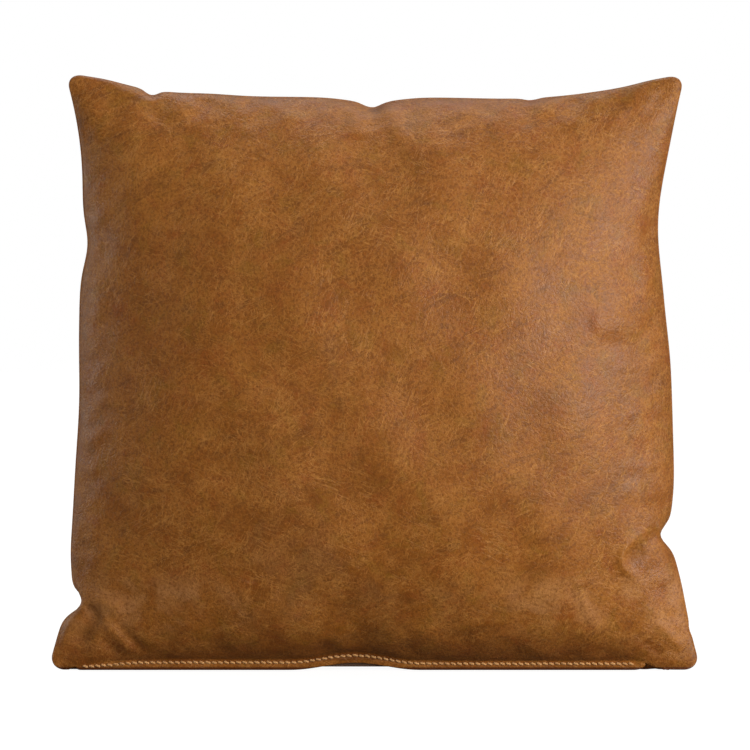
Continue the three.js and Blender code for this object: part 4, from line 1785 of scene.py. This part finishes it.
    def lip_stitches(self, side: Side, thread: Material) -> Piece:
        """The row of heavy stitches along one lip.

        Args:
            side: Which lip.
            thread: The thread's finish.

        Returns:
            The row.
        """
        low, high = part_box(f"topstitch_{side.word}")
        count = int((high.x - low.x) / self.stitch_pitch)
        out = np.array([0.0, side.value, 0.0])
        surface = (high.y if side is Side.BACK else low.y) - side.value * self.stitch_sink
        rng = np.random.default_rng(11)
        places = []
        for number in range(count):
            x = low.x + (number + 0.5) * self.stitch_pitch
            rise = [float(self.outline.hump_at(np.array(x + d))) for d in (-0.001, 0.001)]
            fall = self.stitch_slant - rng.normal(0, self.stitch_stray)
            along = np.array([0.002, 0.0, rise[1] - rise[0] - fall])
            z = self.stitch_line * float(self.outline.lip_height(np.array(x))) + sum(rise) / 2
            z += rng.normal(0, self.stitch_stray)
            places.append((np.array([x, surface, z]), axes(along, out)))
        pattern = stitch_pattern(self.stitch_length, self.stitch_thickness)
        piece = copies(f"lip_stitches_{side.word}", pattern, places)
        return finish_piece(piece, (f"topstitch_{side.word}",), (thread,))

    def seam_stitches(
        self, node: str, start: tuple[float, float], end: tuple[float, float], thread: Material
    ) -> Piece:
        """The stitches that close one seam, set back between the two folds.

        Args:
            node: The frame's node that they stand for.
            start: Shares across and up where the seam starts.
            end: Where it ends.
            thread: The thread's finish.

        Returns:
            The stitches.
        """
        steps = np.linspace(0, 1, 400)
        across = start[0] + (end[0] - start[0]) * steps
        level = start[1] + (end[1] - start[1]) * steps
        x, z = self.outline.place(across, level, self.seam_set_back)
        places = seam_run(x, z, self.seam_pitch, 0.4 * self.seam_stitch)
        pattern = stitch_pattern(self.seam_stitch, self.seam_thread)
        piece = copies(node.replace("thread", "stitches"), pattern, places)
        return finish_piece(piece, (node,), (thread,))

    def satin_label(self, node: str, drawn_in: float, satin: Material) -> Piece:
        """A blank label that lies between the back panel and the insert.

        Args:
            node: The frame's node that it stands for.
            drawn_in: How far it keeps from there to the middle, clear of the pinched seam.
            satin: Its finish.

        Returns:
            The label.
        """
        low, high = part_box(node)
        way = math.copysign(1.0, low.x + high.x)
        x, z = np.meshgrid(np.linspace(low.x, high.x, 25), np.linspace(low.z, high.z, 25), indexing="ij")
        x = x - way * drawn_in
        across = x / self.outline.half_width(z)
        bottom, top = self.outline.bottom_at(across), self.outline.top_at(across)
        level = 2 * (z - bottom) / (top - bottom) - 1
        edge = self.seam_half_gap + 2 * self.leather
        depth = edge + (self.half_thickness - edge) * crown(across, level) - self.leather - self.label_depth
        depth = depth + 0.0001 * ripples(x, z, 0.02, 5)
        half = self.label_thickness / 2
        halves = [np.stack([x, depth + off, z], 2) for off in (-half, half)]
        piece = slab("satin_" + node, *halves)
        return finish_piece(piece, (node,), (satin,))

    def build(self, finishes: dict[str, Material]) -> None:
        """Make the whole cover.

        Args:
            finishes: The materials by name.
        """
        for side in Side:
            self.panel(side, finishes["grain"], finishes["flesh"])
            self.lip_stitches(side, finishes["tan"])
        half = self.outline.half_bottom
        seams = {
            "seam_thread_top": ((-0.95, 1.0), (0.95, 1.0)),
            "seam_thread_left": ((-1.0, -0.945), (-1.0, 0.945)),
            "seam_thread_right": ((1.0, -0.945), (1.0, 0.945)),
            "seam_thread_bottom_left": ((-0.2375 / half, -1.0), (-0.2285 / half, -1.0)),
            "seam_thread_bottom_right": ((0.2085 / half, -1.0), (0.2375 / half, -1.0)),
        }
        for node, (start, end) in seams.items():
            self.seam_stitches(node, start, end, finishes["dark_thread"])
        self.satin_label("care_label", 0.010, finishes["satin"])
        self.satin_label("insert_label", 0.016, finishes["satin"])


@dataclass
class Zip:
    """The zip behind the lips: tapes, coil, slider, pull, stops and bar tacks.

    Attributes:
        coil_pitch: From loop to loop.
        coil_wire: Thickness of the coil's wire.
        coil_lean: How far a loop leans along the zip, against its width.
        tack_stitches: In each bar tack.
        tack_slant: How far they lean, against their length.
        rubbed_edge: Width of the metal's softened edges.
    """

    coil_pitch: float = 0.0015
    coil_wire: float = 0.00055
    coil_lean: float = 0.16
    tack_stitches: int = 7
    tack_slant: float = 0.12
    rubbed_edge: float = 0.00016

    def coil(self, side: Side, nylon: Material) -> Piece:
        """One half of the coil, loop by loop.

        Args:
            side: Which half.
            nylon: Its finish.

        Returns:
            The coil.
        """
        node = f"zip_coil_{side.word}"
        low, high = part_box(node)
        let_go()
        wide, tall = high.y - low.y, high.z - low.z
        bpy.ops.mesh.primitive_torus_add(
            major_segments=10,
            minor_segments=4,
            major_radius=0.5 - self.coil_wire / 2 / tall,
            minor_radius=self.coil_wire / 2 / tall,
            rotation=(0, math.pi / 2, 0),
        )
        pattern = bpy.context.object
        pattern.scale = (tall, tall, tall)
        bpy.ops.object.transform_apply(location=False, rotation=True, scale=True)
        bpy.ops.object.mode_set(mode="EDIT")
        bpy.ops.mesh.select_all(action="SELECT")
        bpy.ops.transform.resize(value=(1, wide / tall, 1))
        bpy.ops.object.mode_set(mode="OBJECT")
        count = int((high.x - low.x - self.coil_wire) / self.coil_pitch)
        lean = np.array([[1.0, 0.0, 0.0], [self.coil_lean, 1.0, 0.0], [0.0, 0.0, 1.0]])
        middle = np.array([0.0, (low.y + high.y) / 2, (low.z + high.z) / 2])
        places = []
        for number in range(count):
            x = low.x + self.coil_wire + (number + 0.5) * self.coil_pitch
            places.append((middle + np.array([x, 0, 0]), lean))
        piece = copies(f"coil_{side.word}", pattern, places)
        return finish_piece(piece, (node,), (nylon,))

    def bar_tack(self, node: str, thread: Material) -> Piece:
        """A bar tack: close zigzag stitches over the end of the opening.

        Args:
            node: The frame's node that it stands for.
            thread: The thread's finish.

        Returns:
            The tack.
        """
        low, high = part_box(node)
        places = []
        for number in range(self.tack_stitches):
            x = low.x + (number + 0.5) * (high.x - low.x) / self.tack_stitches
            slant = self.tack_slant if number % 2 else -self.tack_slant
            spot = np.array([x, (low.y + high.y) / 2, (low.z + high.z) / 2 + 0.0003 * (number % 2)])
            places.append((spot, axes(np.array([slant, 1.0, 0.0]), np.array([0.0, 0.0, 1.0]))))
        piece = copies(node.replace("zip_", "bar_"), stitch_pattern(high.y - low.y, 0.0005), places)
        return finish_piece(piece, (node,), (thread,))

    def dress_nodes(self, finishes: dict[str, Material]) -> None:
        """Give the nodes that stay their finishes and soften the metal's edges.

        Args:
            finishes: The materials by name.
        """
        dressed = {
            "zip_tape_front": "tape",
            "zip_tape_back": "tape",
            "zip_slider": "brass",
            "zip_pull_tab": "brass",
            "zip_top_stop_front": "brass",
            "zip_top_stop_back": "brass",
            "zip_bottom_stop": "brass",
        }
        for node, finish in dressed.items():
            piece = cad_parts[node]
            piece.data.materials.clear()
            piece.data.materials.append(finishes[finish])
            if finish == "brass":
                edge = piece.modifiers.new("rubbed edges", "BEVEL")
                edge.width = self.rubbed_edge
                edge.segments = 2
                edge.limit_method = "ANGLE"
                edge.angle_limit = math.radians(40)
            log.info("%s: kept, in %s", node, finish)

    def build(self, finishes: dict[str, Material]) -> None:
        """Make the whole zip.

        Args:
            finishes: The materials by name.
        """
        for side in Side:
            self.coil(side, finishes["nylon"])
        for node in ("zip_tack_left", "zip_tack_right"):
            self.bar_tack(node, finishes["tan"])
        self.dress_nodes(finishes)


@dataclass
class Insert:
    """The stuffed inner pillow: a striped cotton case, its closing stitches and the filling.

    Attributes:
        outline: The cover's outline without its tucks.
        ticking: The case's thickness.
        half_gap: From the middle plane to the case's fold.
        nose: How far the fold stands out of the outline.
        allowance: How far the edge is turned in.
        inset: From the cover's outline in to the case's.
        filling_inset: From the cover's outline in to the filling's.
        stitch_set_back: From the case's outline to its closing stitches.
        stitch_pitch: From stitch to stitch.
        stitch_length: Of a stitch.
        stitch_thickness: Of its thread.
    """

    outline: Outline = field(default_factory=lambda: Outline(left=(), right=(), top=()))
    ticking: float = 0.0006
    half_gap: float = 0.0006
    nose: float = 0.0008
    allowance: float = 0.006
    inset: float = 0.0150
    filling_inset: float = 0.0240
    stitch_set_back: float = 0.0022
    stitch_pitch: float = 0.0038
    stitch_length: float = 0.0032
    stitch_thickness: float = 0.0005

    def floor(self) -> float:
        """Height of the case's bottom edge."""
        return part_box("insert_front_panel")[0].z + self.nose

    def case(self, side: Side, cotton: Material) -> Piece:
        """One panel of the case.

        Args:
            side: Which.
            cotton: Its finish.

        Returns:
            The panel.
        """
        node = f"insert_{side.word}_panel"
        low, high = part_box(node)
        panel = SewnPanel(
            side=side,
            name=f"case_panel_{side.word}",
            outline=self.outline,
            thickness=self.ticking,
            half_gap=self.half_gap,
            nose=self.nose,
            allowance=self.allowance,
            swell=max(abs(low.y), abs(high.y)) - 0.0010,
            inset=self.inset,
            floor=self.floor(),
            cells=(54, 48),
            cloth=Cloth(cap=0.0012, bending=1.0, tension=25.0, cut=1.02),
            puckers=0.0005,
            lumps=0.0006,
            seed=41 if side is Side.FRONT else 47,
        )
        piece = finish_piece(panel.build(), (node,), (cotton, cotton))
        return piece

    def closing_stitches(self, thread: Material) -> Piece:
        """The overlocked stitches round the case's edge.

        Args:
            thread: Their finish.

        Returns:
            The stitches.
        """
        inset, floor = self.inset + self.stitch_set_back, self.floor() + self.stitch_set_back
        corners = [(-1, -1), (1, -1), (1, 1), (-1, 1), (-1, -1)]
        steps = np.linspace(0.02, 0.98, 400)
        places = []
        for (a0, l0), (a1, l1) in zip(corners, corners[1:]):
            across, level = a0 + (a1 - a0) * steps, l0 + (l1 - l0) * steps
            x, z = self.outline.place(across, level, inset, floor)
            places += seam_run(x, z, self.stitch_pitch, self.stitch_length / 3.2)
        pattern = stitch_pattern(self.stitch_length, self.stitch_thickness)
        piece = copies("case_stitches", pattern, places)
        return finish_piece(piece, ("insert_seam_thread",), (thread,))

    def filling(self, fibre: Material) -> Piece:
        """The fibre filling: one body, lumpy where the fibre has clumped.

        Args:
            fibre: Its finish.

        Returns:
            The filling.
        """
        low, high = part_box("insert_filling")
        share = np.linspace(-1, 1, 81)
        across, level = np.meshgrid(share, share, indexing="ij")
        x, z = self.outline.place(across, level, self.filling_inset, low.z + 0.0005)
        halves = []
        for side in Side:
            lumps = 0.0016 * (ripples(x, z, 0.045, 61 + side.value) - 1.0)
            depth = 0.0012 + (high.y - 0.002 + lumps) * crown(across, level)
            halves.append(np.stack([x, side.value * depth, z], 2))
        piece = slab("fibre_filling", *halves)
        piece = finish_piece(piece, ("insert_filling",), (fibre,))
        return piece

    def build(self, finishes: dict[str, Material]) -> None:
        """Make the whole insert.

        Args:
            finishes: The materials by name.
        """
        for side in Side:
            self.case(side, finishes["cotton"])
        self.closing_stitches(finishes["white_thread"])
        self.filling(finishes["fibre"])


@dataclass(frozen=True)
class Studio:
    """The camera, the soft lights and the pale floor.

    Attributes:
        middle: What the camera looks at.
        distance: How far away it stands.
        elevation: How far it looks down, in degrees.
        lens: Focal length, for a 36 mm wide picture.
        floor_radius: From the floor's middle to its edge.
    """

    middle: tuple[float, float, float] = (0.0004, 0.0, 0.2262)
    distance: float = 3.2
    elevation: float = 1.5
    lens: float = 200.4
    floor_radius: float = 9.0

    def camera(self) -> None:
        """Set up the camera, straight in front."""
        data = bpy.data.cameras.new("camera")
        data.lens = self.lens
        data.sensor_width = 36.0
        data.dof.use_dof = False
        camera = in_scene("camera", data)
        lean = math.radians(self.elevation)
        back = Vector((0, -math.cos(lean), math.sin(lean))) * self.distance
        camera.location = Vector(self.middle) + back
        camera.rotation_euler = (-back).to_track_quat("-Z", "Y").to_euler()
        bpy.context.scene.camera = camera

    def softbox(
        self,
        name: str,
        place: Sequence[float],
        size: tuple[float, float],
        power: float,
        color: Sequence[float],
        shine: bool = True,
    ) -> None:
        """A soft light that points at the pillow.

        Args:
            name: The light's name.
            place: Where it stands.
            size: Width and height.
            power: In watts.
            color: Of its light.
            shine: Whether it shows in the leather's shine.
        """
        data = bpy.data.lights.new(name, "AREA")
        data.shape = "RECTANGLE"
        data.size, data.size_y = size
        data.energy = power
        data.color = color
        light = in_scene(name, data)
        light.visible_glossy = shine
        light.location = place
        way = Vector(self.middle) - Vector(place)
        light.rotation_euler = way.to_track_quat("-Z", "Y").to_euler()

    def lights(self) -> None:
        """The key on the right, a broad light in front, a strip on the right and two along the edges."""
        self.softbox("key", (2.4, -1.9, 0.8), (1.2, 1.6), 74.0, (1.0, 0.97, 0.92))
        self.softbox("front", (-0.1, -3.6, 0.5), (2.4, 1.6), 50.0, (1.0, 0.98, 0.94), False)
        self.softbox("right strip", (2.3, -0.75, 0.40), (0.5, 1.5), 14.0, (1.0, 0.96, 0.90))
        self.softbox("left edge", (-1.55, 0.42, 0.35), (0.4, 1.4), 8.0, (1.0, 0.95, 0.86))
        self.softbox("top edge", (0.1, 0.5, 1.9), (1.6, 0.7), 14.0, (1.0, 0.98, 0.95))
        world = bpy.data.worlds.new("studio")
        bpy.context.scene.world = world
        world.use_nodes = True
        world.node_tree.nodes.clear()
        sheet = NodeSheet(world.node_tree)
        seen = sheet.add("ShaderNodeLightPath").outputs["Is Camera Ray"]
        color = sheet.mix(seen, (0.22, 0.22, 0.225), (1.0, 1.0, 1.0))
        back = sheet.feed(sheet.add("ShaderNodeBackground"), Color=color, Strength=1.0)
        output = sheet.add("ShaderNodeOutputWorld")
        world.node_tree.links.new(back.outputs[0], output.inputs["Surface"])

    def floor(self) -> None:
        """A wide pale floor that takes a faint shadow."""
        let_go()
        bpy.ops.mesh.primitive_circle_add(
            vertices=96, radius=self.floor_radius, fill_type="NGON", location=(0, 0, -0.0002)
        )
        floor = bpy.context.object
        floor.name = "floor"
        material, sheet = fresh_material("Pale floor", (0.9, 0.9, 0.9))
        seen = sheet.add("ShaderNodeLightPath").outputs["Is Camera Ray"]
        speck = sheet.noise(sheet.place(), 40.0, 2.0)
        pale = sheet.mix(sheet.spread(speck, 0.3, 0.7), (0.20, 0.20, 0.20), (0.21, 0.21, 0.21))
        paint = sheet.feed(sheet.add("ShaderNodeBsdfDiffuse"), Color=pale)
        away = sheet.add("ShaderNodeVectorMath", operation="LENGTH")
        sheet.feed(away, Vector=sheet.place())
        light = sheet.spread(away.outputs["Value"], 0.3, 1.2, 0.92, 1.0)
        glow = sheet.feed(sheet.add("ShaderNodeEmission"), Color=(1, 1, 1, 1), Strength=light)
        both = sheet.add("ShaderNodeAddShader")
        sheet.tree.links.new(paint.outputs[0], both.inputs[0])
        sheet.tree.links.new(glow.outputs[0], both.inputs[1])
        either = sheet.add("ShaderNodeMixShader")
        sheet.tree.links.new(seen, either.inputs[0])
        sheet.tree.links.new(paint.outputs[0], either.inputs[1])
        sheet.tree.links.new(both.outputs[0], either.inputs[2])
        output = sheet.add("ShaderNodeOutputMaterial")
        sheet.tree.links.new(either.outputs[0], output.inputs["Surface"])
        floor.data.materials.append(material)

    def build(self) -> None:
        """Set up the whole studio."""
        self.camera()
        self.lights()
        self.floor()
        view = bpy.context.scene.view_settings
        view.view_transform = "Standard"
        view.look = "None"


def all_finishes() -> dict[str, Material]:
    """Every material, by a short name."""
    weave = weave_group()
    return {
        "grain": PullUpLeather().material(),
        "flesh": FleshSide().material(),
        "tan": PliedThread("Tan thread", (0.74, 0.40, 0.14), (0.36, 0.15, 0.040)).material(),
        "dark_thread": PliedThread("Brown thread", (0.20, 0.088, 0.034), (0.07, 0.028, 0.011)).material(),
        "white_thread": PliedThread("White thread", (0.80, 0.78, 0.72), (0.45, 0.43, 0.38)).material(),
        "tape": WovenCloth("Zip tape", (0.085, 0.042, 0.022), (0.030, 0.014, 0.008), 1400.0).material(weave),
        "cotton": WovenCloth(
            "Ticking", (0.74, 0.71, 0.63), (0.50, 0.47, 0.41), 900.0, (0.20, 0.23, 0.30), 0.012, flat=False
        ).material(weave),
        "satin": WovenCloth(
            "Label satin", (0.80, 0.78, 0.72), (0.62, 0.60, 0.55), 2200.0, rough=0.42
        ).material(weave),
        "nylon": Nylon().material(),
        "brass": AgedBrass().material(),
        "fibre": Fibre().material(),
    }


def main() -> None:
    """Build the pillow and its studio."""
    logging.basicConfig(level=logging.INFO, format="%(name)s %(message)s")
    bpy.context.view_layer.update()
    Studio().build()
    finishes = all_finishes()
    Cover().build(finishes)
    Zip().build(finishes)
    Insert().build(finishes)
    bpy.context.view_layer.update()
    let_go()


if __name__ == "__main__":
    main()
